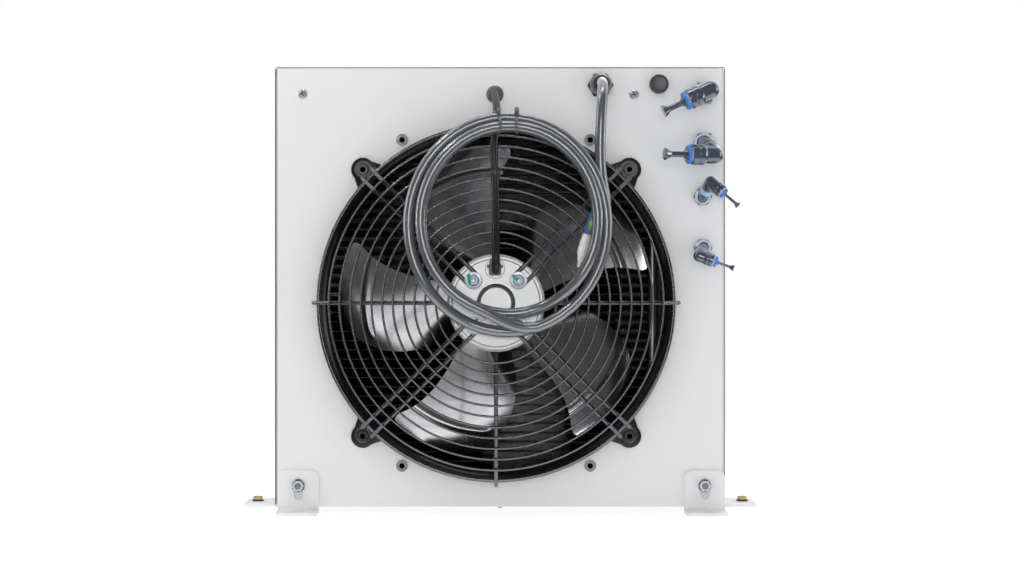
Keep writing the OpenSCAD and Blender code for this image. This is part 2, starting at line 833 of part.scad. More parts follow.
module motor() {
    plate_from = motor_proud - plate_t;
    can_from = plate_from - stator_t - can_gap;
    color("silver") difference() {
        at_rear(fan_x, fan_z) union() {
            difference() {
                translate([0, 0, plate_from]) cylinder(r = motor_r, h = plate_t);
                translate([0, 0, motor_proud - plate_groove_t]) difference() {
                    cylinder(r = plate_groove_r + plate_groove_w, h = plate_groove_t + cut);
                    translate([0, 0, -cut]) cylinder(r = plate_groove_r, h = plate_groove_t + 3 * cut);
                }
            }
            translate([0, 0, motor_proud]) cylinder(r1 = boss_r, r2 = boss_top_r, h = boss_h);
            translate([0, 0, plate_from - stator_t]) cylinder(r = stator_r, h = stator_t);
            translate([0, 0, can_from - can_l]) cylinder(r = spindle_r, h = can_l + can_gap + stator_t);
            translate([0, cable_exit_up, motor_proud]) cylinder(r = cable_plug_r, h = cable_plug_h);
        }
        at_motor_bolts() translate([0, 0, motor_proud - motor_shank_l])
            cylinder(r = motor_shank_r + run_gap, h = motor_shank_l + cut);
        at_rear(fan_x, fan_z) translate([0, cable_exit_up, motor_proud - cable_recess]) difference() {
            cylinder(r = cable_exit_r, h = cable_recess + cut);
            translate([0, 0, -cut]) cylinder(r = cable_plug_r, h = cable_recess + 3 * cut);
        }
    }
}

module motor_bolts() {
    color("lightsteelblue") at_motor_bolts() {
        translate([0, 0, motor_proud + spoke_wire]) cylinder(r = motor_washer_r, h = motor_washer_t);
        translate([0, 0, motor_proud + spoke_wire + motor_washer_t]) pan_head(motor_head_r, motor_head_h);
        translate([0, 0, motor_proud - motor_shank_l])
            cylinder(r = motor_shank_r, h = motor_shank_l + spoke_wire + motor_washer_t + motor_head_h / 2);
    }
}

can_top = motor_proud - plate_t - stator_t - can_gap;

module rotor_can() {
    color("dimgray") at_rear(fan_x, fan_z, can_top - can_l) difference() {
        cylinder(r = can_r, h = can_l);
        translate([0, 0, -cut]) cylinder(r = spindle_r + run_gap, h = can_l + 2 * cut);
    }
}

band_r = can_r + band_t;

// Radii of the blade's rows: up to the bead, across it, and round the corners at the tip
root_r = band_r - band_t / 2;
blade_radii = concat(
    [for (k = [0:blade_rows]) root_r + (bead_r - bead_half_w - root_r) * k / blade_rows],
    [for (k = [1:bead_rows]) bead_r + bead_half_w * (2 * k / bead_rows - 1)],
    [for (k = [0:corner_rows]) blade_r - tip_corner_r * (1 - sin(90 * k / corner_rows))]);
// How far the corner takes back both edges at radius r
function corner_cut(r) = let (u = max(0, r - blade_r + tip_corner_r))
    tip_corner_r - sqrt(tip_corner_r * tip_corner_r - u * u);
function bead_along(c) = min(1, max(0, min(c, 1 - c) / bead_from_share - 1));
function bead_rise(r, c) = bead_h * bead_along(c) * max(0, 1 - pow((r - bead_r) / bead_half_w, 2));

// One blade's mean surface at radius r, share c from the leading to the trailing edge
function blade_point(r, c, skin) =
    let (s = (r - root_r) / (blade_r - root_r),
        corner = corner_cut(r) / r * 180 / PI,
        span = blade_root_span + (blade_tip_span - blade_root_span) * s - 2 * corner,
        a = blade_lead_angle - blade_sweep * s * s - corner - c * span,
        pitch = 1 - 0.25 * s,
        mid = (blade_near + blade_far) / 2,
        z = mid + pitch * (blade_near - blade_far) * (c - 0.5) + blade_camber * sin(180 * c)
            + bead_rise(r, c))
    [r * cos(a), r * sin(a), z + skin * blade_t / 2];

module blade() {
    n = blade_cols + 1;
    rows = len(blade_radii) - 1;
    face = (rows + 1) * n;
    points = [for (skin = [1, -1], r = blade_radii, k = [0:blade_cols]) blade_point(r, k / blade_cols, skin)];
    top = [for (i = [0:rows - 1], k = [0:blade_cols - 1]) each [
        [i * n + k, (i + 1) * n + k + 1, i * n + k + 1], [i * n + k, (i + 1) * n + k, (i + 1) * n + k + 1]]];
    bottom = [for (t = top) [face + t[2], face + t[1], face + t[0]]];
    rim = concat(
        [for (k = [0:blade_cols]) k], [for (i = [1:rows]) i * n + blade_cols],
        [for (k = [blade_cols - 1:-1:0]) rows * n + k], [for (i = [rows - 1:-1:1]) i * n]);
    edge = [for (j = [0:len(rim) - 1]) let (a = rim[j], b = rim[(j + 1) % len(rim)]) each [
        [a, face + b, face + a], [a, b, face + b]]];
    polyhedron(points, concat(top, bottom, edge));
}

module fan_blades() {
    color("silver") at_rear(fan_x, fan_z) union() {
        translate([0, 0, blade_far - blade_t]) difference() {
            cylinder(r = band_r, h = blade_near - blade_far + 2 * blade_camber);
            translate([0, 0, -cut])
                cylinder(r = can_r, h = blade_near - blade_far + 2 * blade_camber + 2 * cut);
        }
        for (i = [0:blades - 1]) rotate([0, 0, i * 360 / blades]) blade();
    }
}

// The fan's cable, held all the way from the grommet to the motor. Points are x, distance out, height.
fan_cable_route = [
    [grommet_x, 0, cab_bottom + grommet_up], [grommet_x, 6, cab_bottom + grommet_up], [-5, 12, 408.6],
        [-4, 28, 400],
    [-3, 44, 387], [-4, 54, 372], [-6, 57, 354], [-5, 58.4, 330], [-4, 61.9, 300], [-4, 66.4, 275],
        [-4, 71, 258],
    [-4, cable_crest, 247], [-4, 71, 239], [-4, 66, 236]
];
function on_rear(p) = [p.x, rear_y - p.y, p.z];

module fan_cable() {
    route = spline([for (p = fan_cable_route) on_rear(p)], 2);
    color("dimgray") tube(route, fan_cable_d / 2, 10);
}

module cable_grommet() {
    color("dimgray") at_rear(grommet_x, cab_bottom + grommet_up) difference() {
        union() {
            intersection() {
                translate([0, 0, grommet_h - grommet_dome_r]) sphere(r = grommet_dome_r);
                cylinder(r = grommet_r, h = grommet_h);
            }
            translate([0, 0, -sheet_t - grommet_h / 2]) cylinder(r = grommet_hole_r, h = sheet_t + grommet_h);
            translate([0, 0, -sheet_t - grommet_h / 2]) cylinder(r = grommet_r, h = grommet_h / 2);
        }
        translate([0, 0, -sheet_t - grommet_h]) cylinder(r = fan_cable_d / 2 + slip, h = 3 * grommet_h);
    }
}

// The hanging coil of the power cord. Slots in the bundle: sideways and upright half axes, centre, distance out.
outer_half = [93.5, 101];
outer_mid = [7.2, 278.8];
inner_half = [83.2, 88.2];
inner_mid = [8.5, 283];
back_outer_out = 73.2;
front_outer_out = 88.2;
front_inner_out = 95.7;
back_inner_out = 80.7;
coil_start = -8;
coil_turns = 2.9875;
coil_rings = 24;
moves_shares = [0.12, 0.22, 0.33, 0.44];
function to_inner(t) = ease(t, 1 + moves_shares[1], 1 + moves_shares[2]);
function coil_out(t) =
    back_outer_out
    + (front_outer_out - back_outer_out) * ease(t, moves_shares[2], moves_shares[3])
    + (front_inner_out - front_outer_out) * to_inner(t)
    + (back_inner_out - front_inner_out) * ease(t, 2 + moves_shares[0], 2 + moves_shares[1]);
function coil_point(t) =
    let (a = coil_start + 360 * t, u = to_inner(t),
        half = outer_half + (inner_half - outer_half) * u,
        mid = outer_mid + (inner_mid - outer_mid) * u)
    on_rear([mid.x + half.x * cos(a), coil_out(t), mid.y - half.y * sin(a)]);
coil_steps = floor(coil_turns * coil_rings);
coil_path = [for (k = [0:coil_steps]) coil_point(coil_turns * k / coil_steps)];
coil_gap = min([for (i = [0:coil_steps - coil_rings / 2], j = [i + coil_rings / 2:coil_steps])
    norm(coil_path[i] - coil_path[j])]) - cord_d;
echo(coil_gap = coil_gap);

module cord_coil() { color("dimgray") tube(coil_path, cord_d / 2, 6); }

lead_route = [
    [gland_x, 12, cab_bottom + gland_up], [gland_x, 27, cab_bottom + gland_up], [98, 42, 417],
        [98, 57, 412], [97, 68, 400], [96, 73, 384], [95, 74, 362],
    [95, 74, 340], [96.5, 73.5, 322]
];
lead_join = 12;

module cord_lead() {
    start_dir = unit(coil_path[1] - coil_path[0]);
    join = [coil_path[0] - start_dir * lead_join, coil_path[0] - start_dir * lead_join / 3, coil_path[0]];
    color("dimgray") tube(concat(spline([for (p = lead_route) on_rear(p)], 2), join), cord_d / 2, 10);
}

module cord_gland() {
    color("dimgray") at_rear(gland_x, cab_bottom + gland_up) difference() {
        union() {
            cylinder(d = gland_hex / cos(30), h = gland_hex_h, $fn = 6);
            translate([0, 0, gland_hex_h])
                cylinder(r1 = gland_dome_r, r2 = gland_dome_r - gland_taper,
                    h = gland_dome_h - gland_dome_r / 2);
            translate([0, 0, gland_hex_h + gland_dome_h - gland_dome_r / 2])
                cylinder(r1 = gland_dome_r - gland_taper, r2 = gland_mouth_r, h = gland_dome_r / 2);
            translate([0, 0, -3 * gland_hex_h]) cylinder(r = gland_thread_r, h = 3 * gland_hex_h);
            translate([0, 0, -sheet_t - gland_hex_h])
                cylinder(d = gland_hex / cos(30), h = gland_hex_h, $fn = 6);
        }
        translate([0, 0, -3 * gland_hex_h - cut]) cylinder(r = cord_d / 2 + slip, h = 6 * gland_dome_h);
    }
}

sheath_end = coil_path[coil_steps];
core_r = 1.7;
core_bundle_r = 3.4;
tip_r = 5.6;
cores_bend = [85.5, 80, 282];
tip_start = [82, 80, 270];
tip_end = [74, 80, 239];

module cord_cores() {
    color("gold") tube([sheath_end, sheath_end + unit(sheath_end - coil_path[coil_steps - 1]) * core_r,
        on_rear(cores_bend), on_rear(tip_start)], core_bundle_r, 8);
}

module cord_tip() {
    color("white") tube([on_rear(tip_start), on_rear(0.5 * (tip_start + tip_end)), on_rear(tip_end)], tip_r, 8);
}

// A tie round the coil: a flat band with its head on top
module coil_tie(x) {
    gap = cord_d / 2 + 2 * slip;
    low = strand_top(inner_half, inner_mid, x) - gap;
    high = strand_top(outer_half, outer_mid, x) + gap;
    near = back_inner_out - gap;
    far = front_inner_out + gap;
    translate([x - tie_w / 2, rear_y, 0]) {
        difference() {
            block([0, -far - tie_t, low - tie_t], [tie_w, -near + tie_t, high + tie_t]);
            block([-cut, -far, low], [tie_w + cut, -near, high]);
        }
        block([0, -far, high + tie_t], [tie_w, -far + tie_head, high + tie_t + tie_head]);
    }
}

// Height of a strand's middle line at the top of the coil
function strand_top(half, mid, x) = mid.y + half.y * sqrt(1 - pow((x - mid.x) / half.x, 2));

// A tie round the fan's cable
module cable_tie() {
    outer = fan_cable_d / 2 + slip + tie_t;
    translate(on_rear(cable_tie_place)) difference() {
        union() {
            cylinder(r = outer, h = tie_w, center = true);
            translate([fan_cable_d / 2 + slip, -tie_head / 2, -tie_w / 2])
                cube([tie_t + tie_head, tie_head, tie_w]);
        }
        cylinder(r = fan_cable_d / 2 + slip, h = tie_w + 2 * cut, center = true);
    }
}

module cable_ties() {
    color("dimgray") {
        for (x = coil_tie_xs) coil_tie(x);
        cable_tie();
    }
}

module alarm_socket() {
    color("silver") at_rear(alarm_x, cab_bottom + alarm_up) {
        cylinder(r = alarm_flange_r, h = alarm_flange_h);
        translate([0, 0, -2 * alarm_body_h]) cylinder(r = alarm_body_r, h = 2 * alarm_body_h + alarm_body_h);
    }
}

module alarm_cap() {
    cap_from = alarm_flange_h + slip;
    color("dimgray") at_rear(alarm_x, cab_bottom + alarm_up) difference() {
        translate([0, 0, cap_from]) cylinder(r = cap_r, h = cap_h);
        translate([0, 0, cap_from - cut])
            cylinder(r = alarm_body_r + slip, h = alarm_body_h - cap_from + cut + slip);
        for (k = [0:knurls - 1]) rotate([0, 0, k * 360 / knurls]) translate([cap_r, 0, cap_from + cap_floor])
            cylinder(r = knurl_r, h = cap_h, $fn = 12);
    }
}

// Frame of port i: local Z runs up the leaning stem, from the top of the hex
module at_port(i) {
    p = ports[i];
    at_rear(p[0], cab_bottom + p[1], by_size(port_hex_h, i)) rotate([0, 0, p[3]]) rotate([0, p[4], 0])
        children();
}

// Turn of the elbow about its stem that brings its leg over the leg direction
function elbow_turn(i) = let (p = ports[i], off = p[5] - p[3]) atan2(sin(off) * cos(p[4]), cos(off));

// Frame of the leg of elbow i: local Z runs along the leg, from the middle of the head
module at_leg(i) {
    at_port(i) rotate([0, 0, elbow_turn(i)]) translate([0, 0, by_size(neck_l, i)]) rotate([0, 90, 0])
        children();
}

module bulkhead(i) {
    hex_h = by_size(port_hex_h, i);
    at_rear(ports[i][0], cab_bottom + ports[i][1]) {
        cylinder(d = by_size(port_hex, i) / cos(30), h = hex_h, $fn = 6);
        translate([0, 0, -by_size(port_thread_l, i)])
            cylinder(r = by_size(port_thread_r, i), h = by_size(port_thread_l, i) + hex_h);
        translate([0, 0, -sheet_t - hex_h]) cylinder(d = by_size(port_hex, i) / cos(30), h = hex_h, $fn = 6);
    }
    at_port(i) {
        translate([0, 0, -hex_h / 2]) cylinder(r = by_size(stem_r, i), h = by_size(stem_l, i) + hex_h / 2);
        cylinder(r = by_size(spigot_r, i), h = by_size(stem_l, i) + by_size(spigot_l, i));
    }
}

module bulkheads() { color("dimgray") for (i = [0:port_count - 1]) bulkhead(i); }

module elbow(i) {
    color("dimgray") difference() {
        union() {
            at_port(i) translate([0, 0, by_size(stem_l, i) + slip])
                cylinder(r = by_size(neck_r, i), h = by_size(neck_l, i) - by_size(stem_l, i) - slip);
            at_leg(i) {
                sphere(r = by_size(neck_r, i) + bead);
                cylinder(r = by_size(leg_r, i), h = by_size(collar_to, i));
                translate([0, 0, by_size(collar_from, i)])
                    cylinder(r = by_size(collar_r, i), h = by_size(collar_to, i) - by_size(collar_from, i));
            }
        }
        at_port(i) cylinder(r = by_size(spigot_r, i) + run_gap, h = by_size(stem_l, i)
            + by_size(spigot_l, i) + slip);
        at_leg(i) translate([0, 0, by_size(socket_from, i)])
            cylinder(r = by_size(socket_r, i), h = by_size(collar_to, i));
    }
}

module collet(i) {
    sleeve_r = by_size(socket_r, i) - slip;
    flange_from = by_size(collar_to, i) + by_size(collet_travel, i);
    sleeve_l = (by_size(collar_to, i) - by_size(socket_from, i)) / 2;
    color("royalblue") at_leg(i) difference() {
        union() {
            translate([0, 0, by_size(collar_to, i) - sleeve_l])
                cylinder(r = sleeve_r, h = sleeve_l + by_size(collet_travel, i));
            translate([0, 0, flange_from]) cylinder(r = by_size(collet_r, i), h = by_size(collet_flange, i));
        }
        cylinder(r = by_size(collet_bore_r, i), h = flange_from + by_size(collet_flange, i) + cut);
    }
}

module plug(i) {
    seat = by_size(socket_from, i) + slip;
    grip_from = by_size(collar_to, i) + by_size(collet_travel, i) + by_size(collet_flange, i) + slip;
    color("dimgray") at_leg(i) {
        translate([0, 0, seat]) cylinder(r = by_size(plug_r, i), h = grip_from - seat);
        cylinder_from_to(by_size(plug_grip_r, i), grip_from - slip, by_size(plug_end, i));
        translate([0, 0, by_size(plug_end, i) - by_size(plug_flare_l, i)])
            cylinder(r = by_size(plug_flare_r, i), h = by_size(plug_flare_l, i));
    }
}

module cylinder_from_to(r, from, to) {
    translate([0, 0, from]) cylinder(r = r, h = to - from);
}

module fan_shroud() {
    low = pan_top;
    color("lightgray") difference() {
        block([shroud_left, bay_rear_y, low], [shroud_right, rear_y + core_out, low + shroud_h]);
        block([shroud_left + shroud_t, bay_rear_y - cut, low + shroud_t],
            [shroud_right - shroud_t, rear_y + core_out + cut, low + shroud_h - shroud_t]);
    }
}

core_low = pan_top + core_up;
core_tubes = floor((core_h - flat_tube_pitch) / flat_tube_pitch);

module condenser() {
    core_y = rear_y + core_out;
    mid_y = core_y + core_t / 2;
    color("silver") union() {
        block([core_left, core_y + core_recess, core_low],
            [core_right, core_y + core_t - core_recess, core_low + core_h]);
        for (k = [0:core_tubes]) translate([core_left, core_y, core_low + flat_tube_pitch * (k + 0.5)])
            cube([core_right - core_left, core_t, flat_tube_t]);
        for (x = [core_left, core_right]) translate([x, mid_y, core_low]) cylinder(r = header_r, h = core_h);
        translate([core_left, mid_y, core_low + core_h - evap_end]) rotate([-90, 0, 0])
            cylinder(r = pipe_r + shroud_t, h = core_t / 2 + pipe_r);
        for (low = [pan_top, core_low + core_h])
            block([shroud_left, core_y, low],
                [shroud_right, core_y + core_t, low == pan_top ? core_low : pan_top + shroud_h]);
        block([shroud_left, core_y + core_recess, pan_top],
            [core_left + shroud_t, core_y + 2 * core_recess, pan_top + shroud_h]);
        block([core_right - shroud_t, core_y + core_recess, pan_top],
            [shroud_right, core_y + 2 * core_recess, pan_top + shroud_h]);
    }
}

module compressor() {
    base_z = pan_top + comp_leg_h;
    color("dimgray") translate([comp_x, comp_y, 0]) union() {
        block([-comp_foot / 2, -comp_foot / 2, base_z], [comp_foot / 2, comp_foot / 2, base_z + comp_foot_t]);
        for (sx = [-1, 1], sy = [-1, 1]) translate([sx * comp_leg_x, sy * comp_leg_x, pan_top])
            cylinder(r = comp_leg_h, h = comp_leg_h);
        translate([0, 0, base_z]) cylinder(r = comp_r, h = comp_h - comp_r / 2);
        translate([0, 0, base_z + comp_h - comp_r / 2]) intersection() {
            sphere(r = comp_r);
            cylinder(r = comp_r, h = comp_r);
        }
        translate([comp_r + accu_r - comp_foot_t, 0, base_z]) cylinder(r = accu_r, h = accu_h);
    }
}

tank_y = front_y - front_t - tank_gap - tank_d;

module water_tank() {
    color("gainsboro") difference() {
        union() {
            translate([tank_x, tank_y + tank_d / 2, pan_top]) linear_extrude(tank_h)
                round_rect(tank_w, tank_d, tank_gap);
            at_filler() translate([0, 0, -filler_in]) cylinder(r = filler_r, h = filler_in + filler_out);
            at_front(gauge_x, cab_bottom + gauge_up, -front_t - tank_gap - cut)
                linear_extrude(front_t + tank_gap + cut)
                rotate([0, 0, 90]) slot_outline(gauge_h - 2 * slip, gauge_slot_w - 2 * slip);
        }
        at_filler() translate([0, 0, -filler_in + filler_r])
            cylinder(r = filler_bore_r, h = filler_in + filler_out);
    }
}

module filler_cap() {
    color("dimgray") at_filler() difference() {
        translate([0, 0, filler_cap_from]) cylinder(r = filler_cap_r, h = filler_cap_h);
        translate([0, 0, filler_cap_from - cut])
            cylinder(r = filler_r + slip, h = filler_out - filler_cap_from + cut + slip);
    }
}

module pump() {
    color("steelblue") translate([pump_x, pump_y, 0]) union() {
        translate([0, 0, pan_top + pump_axis_z]) rotate([-90, 0, 0]) cylinder(r = pump_r, h = pump_l);
        translate([0, -pump_head_l, pan_top + pump_axis_z]) rotate([-90, 0, 0])
            cylinder(r = pump_head_r, h = pump_head_l);
        block([-pump_r, pump_foot_y, pan_top], [pump_r, pump_l - pump_foot_y, pan_top + pump_foot_h]);
        translate([0, -pump_head_l / 2, pan_top + pump_axis_z])
            cylinder(r = hose_r + sheet_t, h = pump_head_r + port_stub_l);
    }
}

module evaporator() {
    color("silver") translate([evap_x, evap_y, pan_top]) {
        block([-evap_w / 2, -evap_d / 2, 0], [evap_w / 2, evap_d / 2, evap_h]);
        for (sx = [-1, 1], z = [evap_end, evap_h - evap_end]) translate([sx * evap_port_x, evap_d / 2, z])
            rotate([-90, 0, 0]) cylinder(r = port_stub_r, h = port_stub_l);
    }
}

// Mouths of the evaporator's stubs
stub_y = evap_y + evap_d / 2 + port_stub_l;
evap_left = evap_x - evap_port_x;
evap_right = evap_x + evap_port_x;
evap_low = pan_top + evap_end;
evap_high = pan_top + evap_h - evap_end;

module control_box() {
    box_top = cab_top - sheet_t;
    color("lightgray") translate([box_x - box_w / 2, bay_front_y - box_d - ctrl_body_d, box_top - box_h]) difference() {
        cube([box_w, box_d, box_h]);
        translate([sheet_t, sheet_t, -cut])
            cube([box_w - 2 * sheet_t, box_d - 2 * sheet_t, box_h - sheet_t + cut]);
    }
}

// A path's inner corners turned into arcs that reach back from each corner, by at most half a run
function reach_back(p, i, reach) =
    min(reach, 0.48 * norm(p[i] - p[i - 1]), 0.48 * norm(p[i + 1] - p[i]));
function bent(p, reach) = concat(
    [p[0]],
    [for (i = [1:len(p) - 2]) let (
        back = reach_back(p, i, reach),
        a = p[i] + back * unit(p[i - 1] - p[i]),
        b = p[i] + back * unit(p[i + 1] - p[i]))
        for (k = [0:bend_steps]) let (u = k / bend_steps) pow(1 - u, 2) * a + 2 * u * (1 - u) * p[i]
            + u * u * b],
    [p[len(p) - 1]]);

// A pipe of straight runs and arcs
module pipe_run(points, r) { tube(bent(points, 3 * r), r, 12); }

module refrigerant_pipes() {
    comp_top = pan_top + comp_leg_h + comp_h + comp_r / 2;
    high_z = comp_top + 8 * pipe_r;
    condenser_in = [core_left, rear_y + core_out + core_t + pipe_r, core_low + core_h - evap_end];
    accu_x = comp_x + comp_r + accu_r - comp_foot_t;
    turn_y = stub_y + 4 * pipe_r;
    color("peru") {
        pipe_run([[comp_x, comp_y, comp_top], [comp_x, comp_y, high_z], [condenser_in.x, comp_y, high_z],
            [condenser_in.x, condenser_in.y + 4 * pipe_r, condenser_in.z], condenser_in], pipe_r);
        pipe_run([[evap_left, stub_y, evap_high], [evap_left, turn_y, evap_high], [accu_x, turn_y, evap_high],
            [accu_x, comp_y, evap_high], [accu_x, comp_y, pan_top + comp_leg_h + accu_h]], pipe_r);
    }
}

module water_hoses() {
    lane_y = comp_y + comp_foot / 2 + 2 * hose_r;
    pump_top = pan_top + pump_axis_z + pump_head_r + port_stub_l;
    color("dimgray") {
        pipe_run([[pump_x, pump_y - pump_head_l / 2, pump_top], [pump_x, pump_y - pump_head_l / 2, evap_high],
            [evap_right, pump_y - pump_head_l / 2, evap_high], [evap_right, stub_y, evap_high]], port_stub_r);
        pipe_run([[evap_right, stub_y, evap_low], [evap_right, lane_y, evap_low],
            [tank_x + tank_w / 4, lane_y, evap_low], [tank_x + tank_w / 4, tank_y, evap_low]], port_stub_r);
    }
}

module at_ctrl() { at_front(ctrl_x, cab_bottom + ctrl_up) children(); }

module controller() {
    color("dimgray") at_ctrl() difference() {
        union() {
            linear_extrude(ctrl_bezel_t) round_rect(ctrl_w, ctrl_h, ctrl_corner_r);
            translate([0, 0, -ctrl_body_d]) linear_extrude(ctrl_body_d)
                square([ctrl_body_w, ctrl_body_h], center = true);
        }
        for (end = [-1, 1]) translate([key_dx, end * key_dz, ctrl_bezel_t - key_depth])
            cylinder(r = key_r + slip, h = key_depth + cut);
    }
}

module key(end) {
    color("silver") at_ctrl() translate([key_dx, end * key_dz, ctrl_bezel_t - key_depth + key_travel + slip])
        cylinder(r = key_r, h = key_depth - key_travel - slip + key_proud);
}

module at_switch() { at_front(switch_x, cab_bottom + switch_up) children(); }

rocker_w = switch_w - 2 * switch_rim;
rocker_h = switch_h - 2 * switch_rim;

module power_switch() {
    color("dimgray") at_switch() difference() {
        union() {
            linear_extrude(switch_rim_t)
                round_rect(switch_w + switch_rim, switch_h + switch_rim, switch_rim / 2);
            translate([0, 0, -switch_body_d]) linear_extrude(switch_body_d)
                square([switch_w, switch_h], center = true);
        }
        translate([0, 0, -rocker_r - rocker_axis_in - cut]) linear_extrude(switch_body_d + switch_rim_t)
            square([rocker_w, rocker_h], center = true);
        translate([0, 0, -rocker_axis_in]) rotate([0, 90, 0])
            cylinder(r = rocker_pin_r + run_gap, h = rocker_w + 2 * rocker_pin_l + 2 * slip, center = true);
    }
}

// The rocker's side view: a round belly under two flat faces that meet at a shallow angle
module rocker_outline() {
    reach = rocker_h / 2 - rocker_gap;
    intersection() {
        circle(r = reach);
        polygon([[-reach, 0], [-reach, rocker_axis_in + switch_rim_t], [0, rocker_axis_in + switch_rim_t / 2],
            [reach, rocker_axis_in + switch_rim_t], [reach, 0], [reach * 0.6, -rocker_axis_in],
                [-reach * 0.6, -rocker_axis_in]]);
    }
}

module switch_rocker() {
    w = rocker_w - 2 * rocker_gap;
    color("black") at_switch() translate([0, 0, -rocker_axis_in]) rotate([rocker_tip, 0, 0]) {
        rotate([90, 0, 90]) linear_extrude(w, center = true) rocker_outline();
        rotate([0, 90, 0]) cylinder(r = rocker_pin_r, h = rocker_w + 2 * rocker_pin_l, center = true);
    }
}

module intake_door() {
    color("whitesmoke") difference() {
        union() {
            difference() {
                at_front(door_x, cab_bottom + door_mid_up, slip) linear_extrude(door_t)
                    round_rect(door_w, door_h, door_corner_r);
                at_front(door_x, cab_bottom + door_mid_up, slip - cut) linear_extrude(door_t + 2 * cut)
                    for (k = [0:louvres - 1]) translate([0, (k - (louvres - 1) / 2) * louvre_pitch])
                        slot_outline(louvre_l, louvre_w);
            }
            at_door_hinge(0) cylinder(r = hinge_r, h = door_h, center = true);
            at_door_hinge(0) translate([0, -hinge_r, -door_h / 2]) cube([2 * hinge_r, door_t, door_h]);
            at_front(door_x + door_w / 2 - 2 * knob_r, cab_bottom + door_mid_up, slip + door_t)
                cylinder(r1 = knob_neck_r, r2 = knob_r, h = knob_h);
        }
        for (end = [-1, 1]) at_door_hinge(end * door_h / 2)
            cylinder(r = hinge_pin_r + run_gap, h = 2 * hinge_pin_l + hinge_lug_l, center = true);
    }
}

module dust_filter() {
    color("dimgray") at_front(door_x, cab_bottom + door_mid_up, -filter_t) linear_extrude(filter_t)
        square([intake_w - 2 * slip, intake_h - 2 * slip], center = true);
}

base_pan();
left_side_panel();
right_side_panel();
top_cover();
rear_panel();
front_panel();
rack_ears();
handles();
rear_brackets();
side_brackets();
bracket_bolts();
panel_screws();
rivet_nuts();
wall_ring();
ring_rivets();
guard();
motor();
motor_bolts();
rotor_can();
fan_blades();
fan_cable();
cable_grommet();
cable_ties();
cord_gland();
cord_lead();
cord_coil();
cord_cores();
cord_tip();
alarm_socket();
alarm_cap();
bulkheads();
elbow(0);  // elbow_1
elbow(1);  // elbow_2
elbow(2);  // elbow_3
elbow(3);  // elbow_4
collet(0);  // collet_1
collet(1);  // collet_2
collet(2);  // collet_3
collet(3);  // collet_4
plug(0);  // plug_1
plug(1);  // plug_2
plug(2);  // plug_3
plug(3);  // plug_4
fan_shroud();
condenser();
compressor();
water_tank();
pump();
evaporator();
control_box();
refrigerant_pipes();
water_hoses();
controller();
key(1);  // up_key
key(-1);  // down_key
power_switch();
switch_rocker();
filler_cap();
intake_door();
dust_filter();
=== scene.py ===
"""Rack-mount water chiller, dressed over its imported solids: wires, cords, fan, fittings, finishes and studio.

Profiles, outlines and places are in millimetres. A profile is a list of (radius, height) pairs.
"""

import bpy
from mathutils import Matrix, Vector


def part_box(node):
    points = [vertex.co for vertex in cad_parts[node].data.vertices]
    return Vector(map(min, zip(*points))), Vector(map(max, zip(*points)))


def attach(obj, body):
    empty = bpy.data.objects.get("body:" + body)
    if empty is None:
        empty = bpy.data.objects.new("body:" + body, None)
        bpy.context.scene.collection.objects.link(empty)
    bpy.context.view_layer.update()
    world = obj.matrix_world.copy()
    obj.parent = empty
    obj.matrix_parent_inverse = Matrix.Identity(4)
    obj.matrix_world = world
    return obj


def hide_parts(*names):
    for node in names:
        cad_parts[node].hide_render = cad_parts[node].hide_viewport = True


bl_info = {
    "name": "Rack-mount chiller",
    "version": (1, 0, 0),
    "blender": (4, 5, 0),
    "location": "View3D > Sidebar > Chiller",
    "description": "Dresses the rack-mount chiller's solids with wires, cords, fan, fittings and finishes",
    "category": "Object",
}

from math import atan2, cos, degrees, pi, radians, sin, sqrt

import bmesh
import bpy
from mathutils import Matrix, Vector
from mathutils.geometry import convex_hull_2d

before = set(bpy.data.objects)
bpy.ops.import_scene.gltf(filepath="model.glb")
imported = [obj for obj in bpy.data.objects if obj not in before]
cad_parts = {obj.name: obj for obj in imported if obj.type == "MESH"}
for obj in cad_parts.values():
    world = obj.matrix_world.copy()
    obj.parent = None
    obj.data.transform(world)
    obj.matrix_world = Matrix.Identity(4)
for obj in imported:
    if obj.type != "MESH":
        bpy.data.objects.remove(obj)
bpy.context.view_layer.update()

MM = 0.001
# Degrees between two faces above which a solid's edge stays sharp, and above which it is eased
SHARP_ANGLE, EASED_ANGLE = 30, 40
REAR_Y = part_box("rear_panel")[0][1]
FRONT_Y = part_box("top_cover")[1][1] + 3 * MM
FAN = (Vector(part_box("rotor_can")[0]) + Vector(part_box("rotor_can")[1])) / 2


# ---- frames and lines


def at_rear(x, z, out=0.0):
    """Frame on the rear panel's face: X is +X, Y is up, Z points out of the cabinet."""
    return Matrix(((1, 0, 0, x * MM), (0, 0, -1, REAR_Y - out * MM), (0, 1, 0, z * MM), (0, 0, 0, 1)))


def at_front(x, z):
    """Frame on the front panel's face: Y is up, Z points out of the cabinet."""
    return Matrix(((-1, 0, 0, x * MM), (0, 0, 1, FRONT_Y), (0, 1, 0, z * MM), (0, 0, 0, 1)))


def on_rear(x, out, z):
    """Point at x and height z, at a distance out of the rear panel, in the room's millimetres."""
    return Vector((x, REAR_Y / MM - out, z))


def turn(axis, degrees):
    return Matrix.Rotation(radians(degrees), 4, axis)


def move(x, y, z):
    return Matrix.Translation(Vector((x, y, z)) * MM)


FAN_FRAME = at_rear(FAN.x / MM, FAN.z / MM)


def polar(radius, degrees, *height):
    """Point at a radius and an angle, with its height if one is given."""
    return (radius * cos(radians(degrees)), radius * sin(radians(degrees)), *height)


def rectangle(x0, y0, x1, y1):
    return [(x0, y0), (x1, y0), (x1, y1), (x0, y1)]


